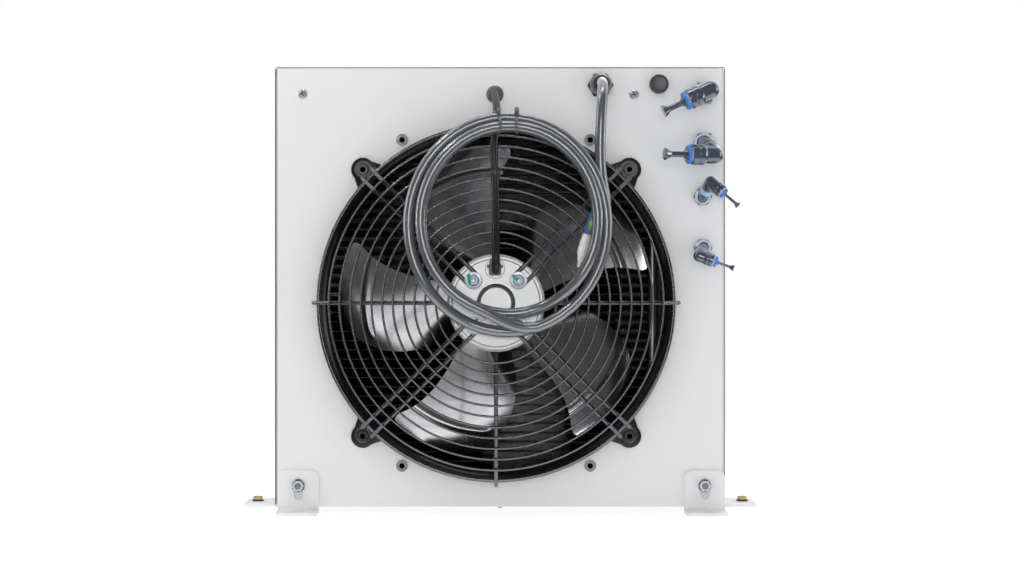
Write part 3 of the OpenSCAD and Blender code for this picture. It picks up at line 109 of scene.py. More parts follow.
def rounded_box(half_w, half_h, r):
    """Outline of a rectangle with rounded corners."""
    corners = ((1, 1, 0), (-1, 1, 90), (-1, -1, 180), (1, -1, 270))
    return [(sx * (half_w - r) + x, sy * (half_h - r) + y) for sx, sy, start in corners
            for x, y in (polar(r, start + a) for a in range(0, 91, 15))]


def ease(u, a, b):
    """Rises smoothly from 0 at a to 1 at b."""
    s = min(1.0, max(0.0, (u - a) / (b - a)))
    return s * s * (3 - 2 * s)


def rounded(points, radius, steps=4):
    """A polyline whose inner corners are rounded. Works on lists of any dimension."""
    points = [Vector(p) for p in points]
    out = [points[0]]
    for before, corner, after in zip(points, points[1:], points[2:]):
        to_a, to_b = before - corner, after - corner
        reach = min(radius, to_a.length * 0.48, to_b.length * 0.48)
        a, b = corner + to_a.normalized() * reach, corner + to_b.normalized() * reach
        for k in range(steps + 1):
            t = k / steps
            out.append(a * (1 - t) ** 2 + corner * (2 * t * (1 - t)) + b * t**2)
    return out + [points[-1]]


def smooth_path(points, steps):
    """Catmull-Rom curve through the points, the same curve that the solids follow."""
    points = [Vector(p) for p in points]
    out = []
    for i in range(len(points) - 1):
        a, b, c, d = points[max(i - 1, 0)], points[i], points[i + 1], points[min(i + 2, len(points) - 1)]
        for k in range(steps):
            u = k / steps
            bend = (2 * a - 5 * b + 4 * c - d) * u**2 + (3 * b - a - 3 * c + d) * u**3
            out.append(0.5 * (2 * b + (c - a) * u + bend))
    return out + [points[-1]]


# ---- forms


class Form:
    """Faces gathered for one piece, each run of them with its own finish."""

    def __init__(self):
        self.mesh = bmesh.new()
        self.finishes = []

    def faces(self, place, points, faces, coat):
        if coat not in self.finishes:
            self.finishes.append(coat)
        verts = [self.mesh.verts.new(place @ (Vector(p) * MM)) for p in points]
        for loop in faces:
            face = self.mesh.faces.new([verts[i] for i in loop])
            face.material_index = self.finishes.index(coat)
            face.smooth = True

    def skin(self, place, rings, coat, closed=False, capped=True):
        """Joins rings of equal length, one to the next. Closed joins the last one to the first."""
        count, sides = len(rings), len(rings[0])
        faces = [(i * sides + k, i * sides + (k + 1) % sides, (i + 1) % count * sides + (k + 1) % sides,
                  (i + 1) % count * sides + k) for i in range(count if closed else count - 1) for k in range(sides)]
        if capped and not closed:
            faces += [tuple(reversed(range(sides))), tuple(range((count - 1) * sides, count * sides))]
        self.faces(place, [p for ring in rings for p in ring], faces, coat)

    def lathe(self, place, profile, coat, steps=48, loop=False):
        """Turns a profile about Z."""
        points, rings, faces = [], [], []
        for r, h in profile:
            count = 1 if r < 1e-6 else steps
            rings.append([len(points) + k for k in range(count)])
            points += [polar(r, 360 * k / steps, h) for k in range(count)]
        for a, b in zip(rings, rings[1:] + (rings[:1] if loop else [])):
            for k in range(steps):
                n = (k + 1) % steps
                corners = dict.fromkeys((a[k % len(a)], a[n % len(a)], b[n % len(b)], b[k % len(b)]))
                if len(corners) > 2:
                    faces.append(tuple(corners))
        self.faces(place, points, faces, coat)

    def tube(self, place, path, radius, coat, sides=12, closed=False):
        """Sweeps a round section along a path, without twist."""
        path = [Vector(p) for p in path]
        count = len(path)
        rings, side = [], None
        for i in range(count):
            ahead = path[(i + 1) % count] if closed or i < count - 1 else path[i]
            behind = path[i - 1] if closed or i > 0 else path[i]
            along = (ahead - behind).normalized()
            if side is None:
                side = along.cross(Vector((1, 0, 0)) if abs(along.z) > 0.9 else Vector((0, 0, 1)))
            side = (side - along * side.dot(along)).normalized()
            up = side.cross(along)
            rings.append([path[i] + side * x + up * y for x, y in circle(radius, sides)])
        self.skin(place, rings, coat, closed)

    def prism(self, place, outline, low, high, coat):
        """Raises a flat outline from low to high."""
        count = len(outline)
        points = [(p[0], p[1], h) for h in (low, high) for p in outline]
        faces = [tuple(reversed(range(count))), tuple(range(count, 2 * count))]
        faces += [(k, (k + 1) % count, count + (k + 1) % count, count + k) for k in range(count)]
        self.faces(place, points, faces, coat)

    def piece(self, name, slot_name, stands_for=(), body="cabinet", bevel=0.0, crease=32.0):
        """Makes the object: edges sharper than crease kept, edges eased by bevel, riding on its body."""
        bmesh.ops.remove_doubles(self.mesh, verts=self.mesh.verts, dist=1e-7)
        bmesh.ops.recalc_face_normals(self.mesh, faces=self.mesh.faces)
        for edge in self.mesh.edges:
            if len(edge.link_faces) == 2 and edge.calc_face_angle(0.0) > radians(crease):
                edge.smooth = False
        data = bpy.data.meshes.new(name)
        self.mesh.to_mesh(data)
        self.mesh.free()
        obj = bpy.data.objects.new(name, data)
        bpy.context.scene.collection.objects.link(obj)
        for coat in self.finishes:
            data.materials.append(finish(coat))
        if bevel:
            ease_edges(obj, bevel)
        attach(obj, body)
        if stands_for:
            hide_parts(*stands_for)
        return obj


def ease_edges(obj, width):
    bevel = obj.modifiers.new("eased edges", "BEVEL")
    bevel.width = width * MM
    bevel.segments = 2
    bevel.limit_method = "ANGLE"
    bevel.angle_limit = radians(EASED_ANGLE)


def circle(radius, steps):
    return [polar(radius, 360 * k / steps) for k in range(steps)]


def rod(radius, low, high):
    """Profile of a plain cylinder."""
    return [(0, low), (radius, low), (radius, high), (0, high)]


def washer(inner, outer, low, high):
    """Profile of a flat ring."""
    return [(inner, low), (outer, low), (outer, high), (inner, high)]


def hexagon(form, place, flats, low, high, coat, chamfer=0.9):
    """A hexagon with its top corners turned off."""
    steps, edge_top = 48, high - chamfer * 0.6
    form.prism(place, circle(flats / 2 / cos(radians(30)), 6), low, edge_top, coat)
    ring, top = [], []
    for k in range(steps):
        a = 360 * k / steps
        edge = flats / 2 / cos(radians(a % 60 - 30))
        ring.append(polar(edge, a, edge_top))
        top.append(polar(min(edge, flats / 2 * 0.98), a, high))
    faces = [(k, (k + 1) % steps, steps + (k + 1) % steps, steps + k) for k in range(steps)]
    form.faces(place, ring + top, faces + [tuple(range(steps, 2 * steps))], coat)


def pan_head(form, place, r, h):
    """A domed screw head whose cross recess is two black bars, painted shade."""
    ball = (r * r + h * h) / (2 * h)
    dome = [(r * k / 10, h - ball + sqrt(ball * ball - (r * k / 10) ** 2)) for k in range(10, -1, -1)]
    form.lathe(place, [(0, -4), (2, -4), (2, 0), (r, 0)] + dome, "bright_zinc", 36)
    # The cross recess is drawn as black bars standing for the shade in its hollow: painted shade
    for angle in (20, 110):
        arm = rectangle(-0.55 * r, -0.1 * r, 0.55 * r, 0.1 * r)
        form.prism(place @ turn("Z", angle), arm, h - 0.5, h + 0.06, "black_enamel_and_painted_shade")


# ---- finishes


def linear(code):
    """Linear colour of an sRGB hex code."""
    parts = [int(code[i : i + 2], 16) / 255 for i in (1, 3, 5)]
    return tuple(c / 12.92 if c <= 0.04045 else ((c + 0.055) / 1.055) ** 2.4 for c in parts) + (1.0,)


WHITE = linear("#FFFFFF")


def node(tree, kind, sockets=None, **settings):
    """Adds a node with its settings. Each socket takes a value or another node's output."""
    made = tree.nodes.new(kind)
    for key, value in settings.items():
        setattr(made, key, value)
    for key, value in (sockets or {}).items():
        if isinstance(value, bpy.types.NodeSocket):
            tree.links.new(value, made.inputs[key])
        else:
            made.inputs[key].default_value = value
    return made


def grain(tree, size, detail, stretch):
    """Noise with lumps about size mm across, on the piece's own coordinates, or cells where detail is None."""
    place = node(tree, "ShaderNodeTexCoord").outputs["Object"]
    scale = 1 / (size * MM)
    if detail is None:
        return node(tree, "ShaderNodeTexVoronoi", {"Vector": place, "Scale": scale}).outputs["Distance"]
    place = node(tree, "ShaderNodeMapping", {"Vector": place, "Scale": stretch}).outputs["Vector"]
    sockets = {"Vector": place, "Scale": scale, "Detail": detail, "Roughness": 0.55}
    return node(tree, "ShaderNodeTexNoise", sockets).outputs["Fac"]


def spec(colour, rough, metallic=0.0, sockets=None, bump=None, rub=None, tint=None, stretch=(1, 1, 1)):
    """One row of the finishes. bump, rub (roughness) and tint begin with the size and detail of their noise; bump
    goes on with its depth in mm and strength, rub and tint with the two ends of their range."""
    values = {"Base Color": linear(colour), "Roughness": rough, "Metallic": metallic, **(sockets or {})}
    return values, bump, rub, tint, stretch


FINISHES = {
    # Polyester powder baked on steel sheet: even satin white with an orange peel of about 2 mm
    "powder_coat": spec("#EBECED", 0.42, bump=(2.4, 1, 0.06, 0.7), tint=(60, 2, "#E9EAEB", "#EEEEEF")),
    # Black-chromated steel wire: dark metal with a crisp bright line along each wire and black beside it
    "black_wire_paint": spec("#77797C", 0.26, 1.0, bump=(5, 2, 0.01, 0.15), rub=(5, 2, 0.22, 0.3)),
    # Black stove enamel on pressed steel: black with a grey sheen where it faces the light; also painted shade in
    # hollows
    "black_enamel_and_painted_shade": spec("#1D1D1F", 0.24, bump=(3, 1, 0.04, 0.5)),
    # Bare pressed sheet with a satin sheen: silver where it faces the pale floor, near black where it faces the room
    "blade_enamel": spec("#E2E3E5", 0.19, 1.0, bump=(30, 1, 0.3, 0.3), rub=(9, 2, 0.17, 0.22)),
    # Fine die casting, bead blasted: pale grey with a fine grain that softens every reflection
    "cast_aluminium": spec("#C6C7C8", 0.34, 1.0, bump=(0.9, 3, 0.05, 0.6), rub=(0.9, 3, 0.3, 0.4)),
    # Electroplated zinc with a clear passivation: bright bluish silver, a little milky
    "bright_zinc": spec("#CDD4DF", 0.34, 0.6, rub=(4, 2, 0.28, 0.42)),
    # Zinc-nickel on the rivet nuts and bracket studs: darker and duller than the washers
    "dull_steel": spec("#8B8D90", 0.4, 1.0, rub=(3, 2, 0.34, 0.5)),
    # Electroplated zinc with a yellow passivation: gold that shifts to green and pink
    "yellow_zinc": spec("#B9A468", 0.26, 1.0, tint=(6, 2, "#C2A85E", "#A9A77F")),
    # Teal marking lacquer dabbed over the motor's screws: opaque and slightly glossy
    "thread_lock": spec("#22A596", 0.35, bump=(1.5, 1, 0.2, 0.6)),
    # Extruded PVC: mid grey that rolls from a long bright line to dark edges, almost like metal
    "cable_sheath": spec("#919397", 0.3, 0.8, {"Coat Weight": 0.8, "Coat Roughness": 0.12},
                         bump=(16, 2, 0.05, 0.12), rub=(16, 2, 0.26, 0.36)),
    # Extruded rubber of the fan's cable: near black with thin bright edges
    "dark_sheath": spec("#242527", 0.24, bump=(12, 3, 0.06, 0.25)),
    # Injection-moulded glass-filled nylon: black with a fine spark-eroded grain
    "black_nylon": spec("#36383C", 0.24, bump=(0.8, 2, 0.03, 0.5)),
    # Grey cable ties and grommet: smooth, with a soft shine
    "grey_nylon": spec("#5A5B5E", 0.32, bump=(1.5, 1, 0.02, 0.5)),
    # Injection-moulded acetal: saturated blue, slightly waxy
    "blue_acetal": spec("#3B7FDE", 0.3, 0.0, {"Subsurface Weight": 0.05}, bump=(1.2, 1, 0.02, 0.5)),
    # Polished dark blue-grey nylon of the push-in fittings: long bluish reflections on near black
    "glossy_nylon": spec("#6E7788", 0.2, 0.7, {"Coat Weight": 1.0, "Coat Roughness": 0.06}, bump=(0.8, 2, 0.02, 0.4)),
    # Translucent pale blue nylon of one swivel neck
    "clear_blue_nylon": spec("#A9CFF2", 0.2, 0.0, {"Subsurface Weight": 0.1}, bump=(1.2, 1, 0.02, 0.5)),
    # Painted shade: grey strips in the joints of the shell and rear panel, and a ring for the recess round the cable
    # plug
    "painted_shade_grey": spec("#6A6B6D", 0.6, rub=(5, 1, 0.5, 0.7)),
    # Natural acetal: milky white grip ring
    "pale_acetal": spec("#C8CFD6", 0.32, bump=(1.2, 1, 0.02, 0.5)),
    # Green core insulation with its yellow stripe
    "green_core": spec("#4FA63A", 0.35, tint=(4, 0, "#2F8F35", "#D9D84A")),
    # Blue core insulation: plain and even
    "blue_core": spec("#3C6FB0", 0.35, rub=(3, 1, 0.3, 0.42)),
    # Wound paper tape: matt white with its laps
    "white_tape": spec("#E4E4E0", 0.7, bump=(3, 2, 0.15, 0.8), stretch=(0.3, 0.3, 1)),
    # Hot-dip galvanised steel: mottled zinc spangle about 8 mm across
    "galvanised_sheet": spec("#B4B7BA", 0.4, 1.0, rub=(8, None, 0.3, 0.5), tint=(8, None, "#A9ADB1", "#BFC2C4")),
    # Brushed stainless steel: fine lines along the length that stretch each highlight
    "satin_steel": spec("#C6C7C8", 0.32, 1.0, bump=(0.6, 2, 0.02, 0.6), rub=(0.6, 2, 0.26, 0.4), stretch=(1, 1, 0.05)),
    # Brazed aluminium tube: soft grey with flux haze
    "bare_aluminium": spec("#7C7E80", 0.48, 1.0, rub=(7, 3, 0.4, 0.58)),
    # Thin aluminium fin foil, dark grey as painted shade inside the fan housing
    "painted_shade_fin": spec("#5A5B5D", 0.4, 0.8, rub=(5, 1, 0.38, 0.52)),
    # Roto-moulded polyethylene: milky white, waxy
    "tank_polyethylene": spec("#DDE0DA", 0.4, 0.0, {"Subsurface Weight": 0.1}, bump=(3, 2, 0.05, 0.5)),
    # Machine enamel on the pump's castings: glossy mid blue
    "blue_enamel": spec("#2F5E96", 0.35, bump=(2, 2, 0.05, 0.5)),
    # Drawn copper pipe, a little tarnished
    "drawn_copper": spec("#C98A66", 0.28, 1.0, tint=(14, 3, "#D0926E", "#A86F52")),
    # Open-cell polyurethane foam: black, full of 1.6 mm pores
    "filter_foam": spec("#1C1C1E", 0.9, bump=(1.6, None, 0.8, 1.0)),
    # Moulded grey silicone key: matt and soft
    "grey_key": spec("#8E9296", 0.55, bump=(1, 1, 0.02, 0.4)),
    # Smoked acrylic over the display: glossy, nearly black, with a breath of dust
    "smoked_window": spec("#1A0B0B", 0.08, rub=(9, 2, 0.05, 0.12)),
    # Light-emitting segments of the reading: plain glowing red
    "lit_segment": spec("#E0241A", 0.4, 0.0, {"Emission Color": linear("#F03020"), "Emission Strength": 1.2},
                        rub=(4, 0, 0.35, 0.45)),
}
MADE = {}


def finish(name):
    """The material of a finish, made at its first use."""
    if name in MADE:
        return MADE[name]
    values, bump, rub, tint, stretch = FINISHES[name]
    material = MADE[name] = bpy.data.materials.new(name)
    material.use_nodes = True
    tree = material.node_tree
    shader = tree.nodes["Principled BSDF"]
    for key, value in values.items():
        shader.inputs[key].default_value = value
    if bump:
        size, detail, depth, strength = bump
        sockets = {"Height": grain(tree, size, detail, stretch), "Distance": depth * MM, "Strength": strength}
        tree.links.new(node(tree, "ShaderNodeBump", sockets).outputs["Normal"], shader.inputs["Normal"])
    if rub:
        size, detail, low, high = rub
        sockets = {"Value": grain(tree, size, detail, stretch), "From Min": 0.3, "From Max": 0.7,
                   "To Min": low, "To Max": high}
        tree.links.new(node(tree, "ShaderNodeMapRange", sockets).outputs["Result"], shader.inputs["Roughness"])
    if tint:
        size, detail, first, second = tint
        sockets = {"Factor": grain(tree, size, detail, stretch), 6: linear(first), 7: linear(second)}
        tree.links.new(node(tree, "ShaderNodeMix", sockets, data_type="RGBA").outputs[2], shader.inputs["Base Color"])
    return material


# ---- studio shaders

# Metres: half the cabinet's width, and how far from the cabinet the eye's floor turns white. Its glow nearer by
HALF_WIDTH, WHITE_FROM, NEAR_GLOW = 0.22, (0.3, 0.9), 0.8
# How far mirrors see the floor as white and how bright it is beyond. Its glow for all other rays
MIRROR_WHITE, MIRROR_FAR, FLOOR_GLOW = (0.2, 0.5), 0.07, 0.36


def plain(tree, kind, strength):
    """White emission or background, of a fixed strength or one that another node gives."""
    return node(tree, kind, {"Color": WHITE, "Strength": strength})


def by_ray(tree, other, mirrored, seen):
    """Gives mirrors and glass, the eye, and all other rays a shader each."""
    rays = node(tree, "ShaderNodeLightPath")
    gloss = node(tree, "ShaderNodeMath",
                 {0: rays.outputs["Is Transmission Ray"], 1: rays.outputs["Is Glossy Ray"]}, operation="MAXIMUM")
    pick = node(tree, "ShaderNodeMixShader", {0: gloss.outputs[0], 1: other.outputs[0], 2: mirrored.outputs[0]})
    return node(tree, "ShaderNodeMixShader",
                {0: rays.outputs["Is Camera Ray"], 1: pick.outputs[0], 2: seen.outputs[0]}).outputs[0]


def ramp(tree, value, low, high, first, last):
    """A value that goes smoothly from first to last while another one goes from low to high."""
    return node(tree, "ShaderNodeMapRange",
                {"Value": value, "From Min": low, "From Max": high, "To Min": first, "To Max": last},
                interpolation_type="SMOOTHSTEP").outputs["Result"]


def outline_distance(tree, side):
    """Distance on the floor from the cabinet's outline, which is moved sideways by side metres."""
    half_size = (HALF_WIDTH, (FRONT_Y - REAR_Y) / 2, 0)
    value = node(tree, "ShaderNodeTexCoord").outputs["Object"]
    for operation, other in (("SUBTRACT", (side, 0, 0)), ("ABSOLUTE", (0, 0, 0)), ("SUBTRACT", half_size),
                             ("MAXIMUM", (0, 0, 0))):
        value = node(tree, "ShaderNodeVectorMath", {0: value, 1: other}, operation=operation).outputs[0]
    return node(tree, "ShaderNodeVectorMath", {0: value}, operation="LENGTH").outputs["Value"]


def studio_white():
    # Seamless paper round the object, lit from below for the eye and for gloss: plain white with a soft shadow
    material = bpy.data.materials.new("studio_white")
    material.use_nodes = True
    tree = material.node_tree
    tree.nodes.clear()
    emission = "ShaderNodeEmission"

    def paper(colour, glow):
        matt = node(tree, "ShaderNodeBsdfDiffuse", {"Color": linear(colour)})
        return node(tree, "ShaderNodeAddShader", {0: matt.outputs[0], 1: plain(tree, emission, glow).outputs[0]})

    far = ramp(tree, outline_distance(tree, 0), *WHITE_FROM, 0, 1)
    near_white, far_white = paper("#A8A8A8", NEAR_GLOW), plain(tree, emission, 1.0)
    seen = node(tree, "ShaderNodeMixShader", {0: far, 1: near_white.outputs[0], 2: far_white.outputs[0]})
    mirrored = plain(tree, emission, ramp(tree, outline_distance(tree, 0.2), *MIRROR_WHITE, 1, MIRROR_FAR))
    node(tree, "ShaderNodeOutputMaterial", {"Surface": by_ray(tree, paper("#F0F0F0", FLOOR_GLOW), mirrored, seen)})
    return material


# ---- sizes that a user may change


def length_setting(name, description, default):
    return bpy.props.FloatProperty(name=name, description=description, default=default, unit="LENGTH")


class ChillerCord(bpy.types.PropertyGroup):
    radius: length_setting("Cord radius", "Radius of the power cord", 5.15 * MM)
    sides: bpy.props.IntProperty(name="Sides", description="Sides of a cable's round section", default=20, min=8)


class ChillerGuard(bpy.types.PropertyGroup):
    ring_wire: length_setting("Ring wire", "Thickness of the ring wires", 2.2 * MM)
    spoke_wire: length_setting("Spoke wire", "Thickness of the spokes", 4 * MM)


class ChillerFan(bpy.types.PropertyGroup):
    blades: bpy.props.IntProperty(name="Blades", description="Number of fan blades", default=5, min=3)
    bead: length_setting("Bead height", "Height of the pressed bead across a blade", 1.8 * MM)


class ChillerStudio(bpy.types.PropertyGroup):
    distance: length_setting("Camera distance", "From the rear panel to the camera", 2.3)
    height: length_setting("Camera height", "Height of the camera above the floor", 0.208)
    lens: bpy.props.FloatProperty(name="Lens", description="Focal length on a 36 mm frame", default=82.7)
    light: bpy.props.FloatProperty(name="World light", description="Strength of the even light", default=0.57)


# ---- cords and cables

# Points on the cables, given for on_rear as x, distance out of the panel and height
LEAD = ((98, 27, 417.7), (98, 42, 417), (98, 57, 412), (97, 68, 400), (96, 73, 384), (95, 74, 362), (95, 74, 340),
        (96.5, 73.5, 322))
FAN_CABLE = ((-5, 0, 409), (-5, 6, 409), (-5, 12, 408.6), (-4, 28, 400), (-3, 44, 387), (-4, 54, 372), (-6, 57, 354),
             (-5, 58.4, 330), (-4, 61.9, 300), (-4, 66.4, 275), (-4, 71, 258), (-4, 73, 247), (-4, 71, 239),
             (-4, 66, 236))
FAN_CABLE_R = 3.7
CORES_MEET, TIP_START, TIP_END = (85.5, 80, 282), (82, 80, 270), (74, 80, 239)

COIL_TURNS, COIL_STEPS, COIL_FIRST_ANGLE = 2.9875, 144, -8
# Half axes of the coil's outer and inner turns, then their middles
COIL_AXES = Vector((93.5, 101)), Vector((83.2, 88.2))
COIL_MIDDLES = Vector((7.2, 278.8)), Vector((8.5, 283))
COIL_OUT, STRAND_PITCH = 73.2, 15
# Shares of a turn at which the strand starts and ends a change of its place in the bundle
SHARES = (0.12, 0.22, 0.33, 0.44)
# Middles of the coil's four strands at its top, as distance from the panel and height, and the ties round them
STRANDS = ((73.2, 379.8), (88.2, 379.8), (80.7, 371.2), (95.7, 371.2))
TIES = ((-3, 2.5), (16, -0.5))


def coil_point(t):
    """Middle line of the hanging coil after t turns."""
    inner = ease(t, 1 + SHARES[1], 1 + SHARES[2])
    half, middle = COIL_AXES[0].lerp(COIL_AXES[1], inner), COIL_MIDDLES[0].lerp(COIL_MIDDLES[1], inner)
    steps_out = ease(t, SHARES[2], SHARES[3]) + 0.5 * inner - ease(t, 2 + SHARES[0], 2 + SHARES[1])
    x, down = polar(1, COIL_FIRST_ANGLE + 360 * t)
    return on_rear(middle.x + half.x * x, COIL_OUT + STRAND_PITCH * steps_out, middle.y - half.y * down)


def wrapped_tip(form, start, end):
    """The tape round the bare cores' ends: a creased, tapering roll."""
    run = end - start
    place = move(*start) @ run.to_track_quat("Z", "Y").to_matrix().to_4x4()
    steps, sides, rings = 18, 20, []
    for k in range(steps + 1):
        u = k / steps
        girth = 4.6 + 1.3 * sin(pi * min(1.0, u * 1.25)) - 2.9 * ease(u, 0.55, 1)
        ring = []
        for j in range(sides):
            a = 2 * pi * j / sides
            waves = ((0.09, 3, 2.1), (0.07, 5, -1.3), (0.05, 2, 4))
            crease = sum(depth * sin(around * a + along * k) for depth, around, along in waves)
            r = girth * (1 + crease * (0.5 + u))
            ring.append((r * cos(a), 0.8 * r * sin(a), run.length * u))
        rings.append(ring)
    form.skin(place, rings, "white_tape")


def cable_tie(form, x, tilt, gap):
    """A strap round the coil's strands at x, leaning by tilt, with its head on top."""
    ring = [(y + dy, z + dz) for y, z in STRANDS for dy, dz in circle(gap, 16)]
    outline, strap = [ring[i] for i in convex_hull_2d(ring)], []
    for k, (y, z) in enumerate(outline):
        (y0, z0), (y1, z1) = outline[k - 1], outline[(k + 1) % len(outline)]
        away = Vector((z1 - z0, y0 - y1)).normalized()
        lean = tilt * (y - 84) / 12
        strap.append([on_rear(x + lean + side, y + away.x * d, z + away.y * d)
                      for side, d in ((-1.4, 0), (1.4, 0), (1.4, 1.1), (-1.4, 1.1))])
    form.skin(Matrix(), strap, "grey_nylon", closed=True)
    head = at_rear(x + tilt * 0.5, 384.5, 94.5) @ turn("Z", -4 * tilt) @ turn("X", -45)
    form.prism(head, rectangle(-2.2, -2, 2.2, 2), -1, 3.2, "grey_nylon")
    form.prism(head, rectangle(-1.2, 1, 1.2, 5), 0.4, 1.5, "grey_nylon")


class CHILLER_OT_cords(bpy.types.Operator):
    """Power cord with its bare end, the fan's cable and their ties"""

    bl_idname = "chiller.cords"
    bl_label = "Cords"

    def execute(self, context):
        cord = context.scene.chiller_cord
        coil = [coil_point(COIL_TURNS * k / COIL_STEPS) for k in range(COIL_STEPS + 1)]
        first, down = (coil[2] - coil[0]).normalized(), (coil[-1] - coil[-2]).normalized()
        path = smooth_path([on_rear(*p) for p in LEAD] + [coil[0] - first * 12, coil[0] - first * 4], 5) + coil
        form = Form()
        form.tube(Matrix(), path, cord.radius / MM, "cable_sheath", cord.sides)
        sheath = form.piece("power_cord", "cable_rubber", ("cord_lead", "cord_coil"), crease=60)

        start, end = on_rear(*TIP_START), on_rear(*TIP_END)
        form = Form()
        for side, colour in ((1.6, "green_core"), (-1.6, "blue_core")):
            twist = [coil[-1] - down * 3 + Vector((side, 0, 0)), coil[-1] + down * 5 + Vector((side, side * 0.6, 0)),
                     on_rear(*CORES_MEET) + Vector((side * 0.8, -side * 0.8, 0)),
                     start + Vector((side * 0.3, side, 2)),
                     start + (end - start) * 0.25 + Vector((side * 0.2, side * 0.8, 0))]
            form.tube(Matrix(), smooth_path(twist, 6), 1.7, colour, 12)
        cores = form.piece("cord_cores_bare", "core_colours", ("cord_cores",), crease=60)
        form = Form()
        wrapped_tip(form, start, end)
        tip = form.piece("cord_tip_wrap", "white_tape", ("cord_tip",), crease=70)

        form = Form()
        form.tube(Matrix(), smooth_path([on_rear(*p) for p in FAN_CABLE], 5), FAN_CABLE_R, "dark_sheath", cord.sides)
        form.piece("fan_cable_sheath", "cable_rubber", ("fan_cable",), crease=60)

        form = Form()
        for x, tilt in TIES:
            cable_tie(form, x, tilt, cord.radius / MM + 0.5)
        clip = move(*on_rear(-5, 58.5, 329.3))
        form.lathe(clip, washer(3.75, 5, -1.7, 1.7), "black_nylon", 24, loop=True)
        form.prism(clip @ move(4.6, 0, 0), rectangle(0, -1.3, 3.2, 1.3), -1.8, 1.8, "black_nylon")
        form.piece("cable_straps", "grey_plastic", ("cable_ties",), bevel=0.15)
        return {"FINISHED"}


# ---- guard

RING_COUNT, RING_FIRST_R, RING_PITCH = 11, 57.2, 10.3
# How far the rings stand outside the middle of the spokes
RING_LIFT = 2.8
SPOKE_OUT, SPOKE_FALL, SPOKE_FLAT_R, SPOKE_BEND_R = 60, 15, 50, 160
LIP_R, LIP_OUT, HOOK_R = 172, 22.1, 177
# A diagonal pair: half its spacing, which is also the radius of its bend round the motor bolt, and that bolt's place
PAIR_HALF, BOLT_R = 6.1, 31


class CHILLER_OT_guard(bpy.types.Operator):
    """Wire guard: rings on spokes, each diagonal pair bent round its motor bolt"""

    bl_idname = "chiller.guard"
    bl_label = "Guard"

    def execute(self, context):
        guard = context.scene.chiller_guard
        ring_r, spoke_r = guard.ring_wire / MM / 2, guard.spoke_wire / MM / 2
        form = Form()

        def wire(place, path, radius, sides=12, closed=False):
            form.tube(place, path, radius, "black_wire_paint", sides, closed)

        for i in range(RING_COUNT):
            r = RING_FIRST_R + RING_PITCH * i
            fall = SPOKE_FALL * max(0, r - SPOKE_FLAT_R) / (SPOKE_BEND_R - SPOKE_FLAT_R)
            ring = [polar(r, a, SPOKE_OUT - fall + RING_LIFT) for a in range(0, 360, 3)]
            wire(FAN_FRAME, ring, ring_r, 10, closed=True)
        wire(FAN_FRAME, [polar(LIP_R, a, LIP_OUT) for a in range(0, 360, 3)], spoke_r, closed=True)
        low, foot = SPOKE_OUT - SPOKE_FALL, LIP_OUT + 3.7
        single = [(48, 0, SPOKE_OUT), (60, 0, 58.6), (SPOKE_BEND_R, 0, low), (LIP_R, 0, foot), (HOOK_R, 0, LIP_OUT),
                  (HOOK_R, 0, 16)]
        y = PAIR_HALF
        arm = rounded([(HOOK_R, y, 10), (HOOK_R, y, LIP_OUT), (LIP_R, y, foot), (SPOKE_BEND_R, y, low),
                       (SPOKE_FLAT_R, y, SPOKE_OUT), (BOLT_R, y, SPOKE_OUT)], 5, 5)
        bend = [Vector(polar(PAIR_HALF, a, SPOKE_OUT)) + Vector((BOLT_R, 0, 0)) for a in range(105, 256, 15)]
        back = [Vector((p.x, -p.y, p.z)) for p in reversed(arm)]
        for quarter in range(4):
            wire(FAN_FRAME @ turn("Z", 90 * quarter), rounded(single, 5, 5), spoke_r)
            wire(FAN_FRAME @ turn("Z", 45 + 90 * quarter), arm + bend + back, spoke_r)
        form.piece("guard_wires", "black_paint", ("guard",), crease=60)
        return {"FINISHED"}


# ---- fan

BLADE_ROOT_R, BLADE_TIP_R, BLADE_SKIN, CORNER_R = 46, 153.5, 0.8, 12
# Angle of the leading edge at the root, its sweep to the tip, and the blade's angle at the root and how it narrows
LEADING, SWEEP, CHORD, NARROWS = 287, 25.5, 58, 23
# Distance of the blade's middle from the panel, the rise across it at the root, its camber, and the bead's radius
BLADE_OUT, RISE, CAMBER, BEAD_R = -21, 34, 5, 128
BLADE_ROWS, BLADE_COLS = 60, 24


def blade_middle(s, c, bead):
    """Mean surface of one blade: s from root to tip, c from leading to trailing edge."""
    r = BLADE_ROOT_R + s * (BLADE_TIP_R - BLADE_ROOT_R)
    inside = min(CORNER_R, BLADE_TIP_R - r)
    corner = degrees((CORNER_R - sqrt(CORNER_R**2 - (CORNER_R - inside) ** 2)) / r)
    a = LEADING - SWEEP * s * s - corner - c * (CHORD - NARROWS * s - 2 * corner)
    out = BLADE_OUT + (1 - 0.25 * s) * RISE * (c - 0.5) + CAMBER * sin(pi * c)
    along = ease(c, 0.1, 0.16) * max(0.0, 1 - ((r - BEAD_R) / 3.5) ** 2)
    return Vector(polar(r, a, out + bead * along))


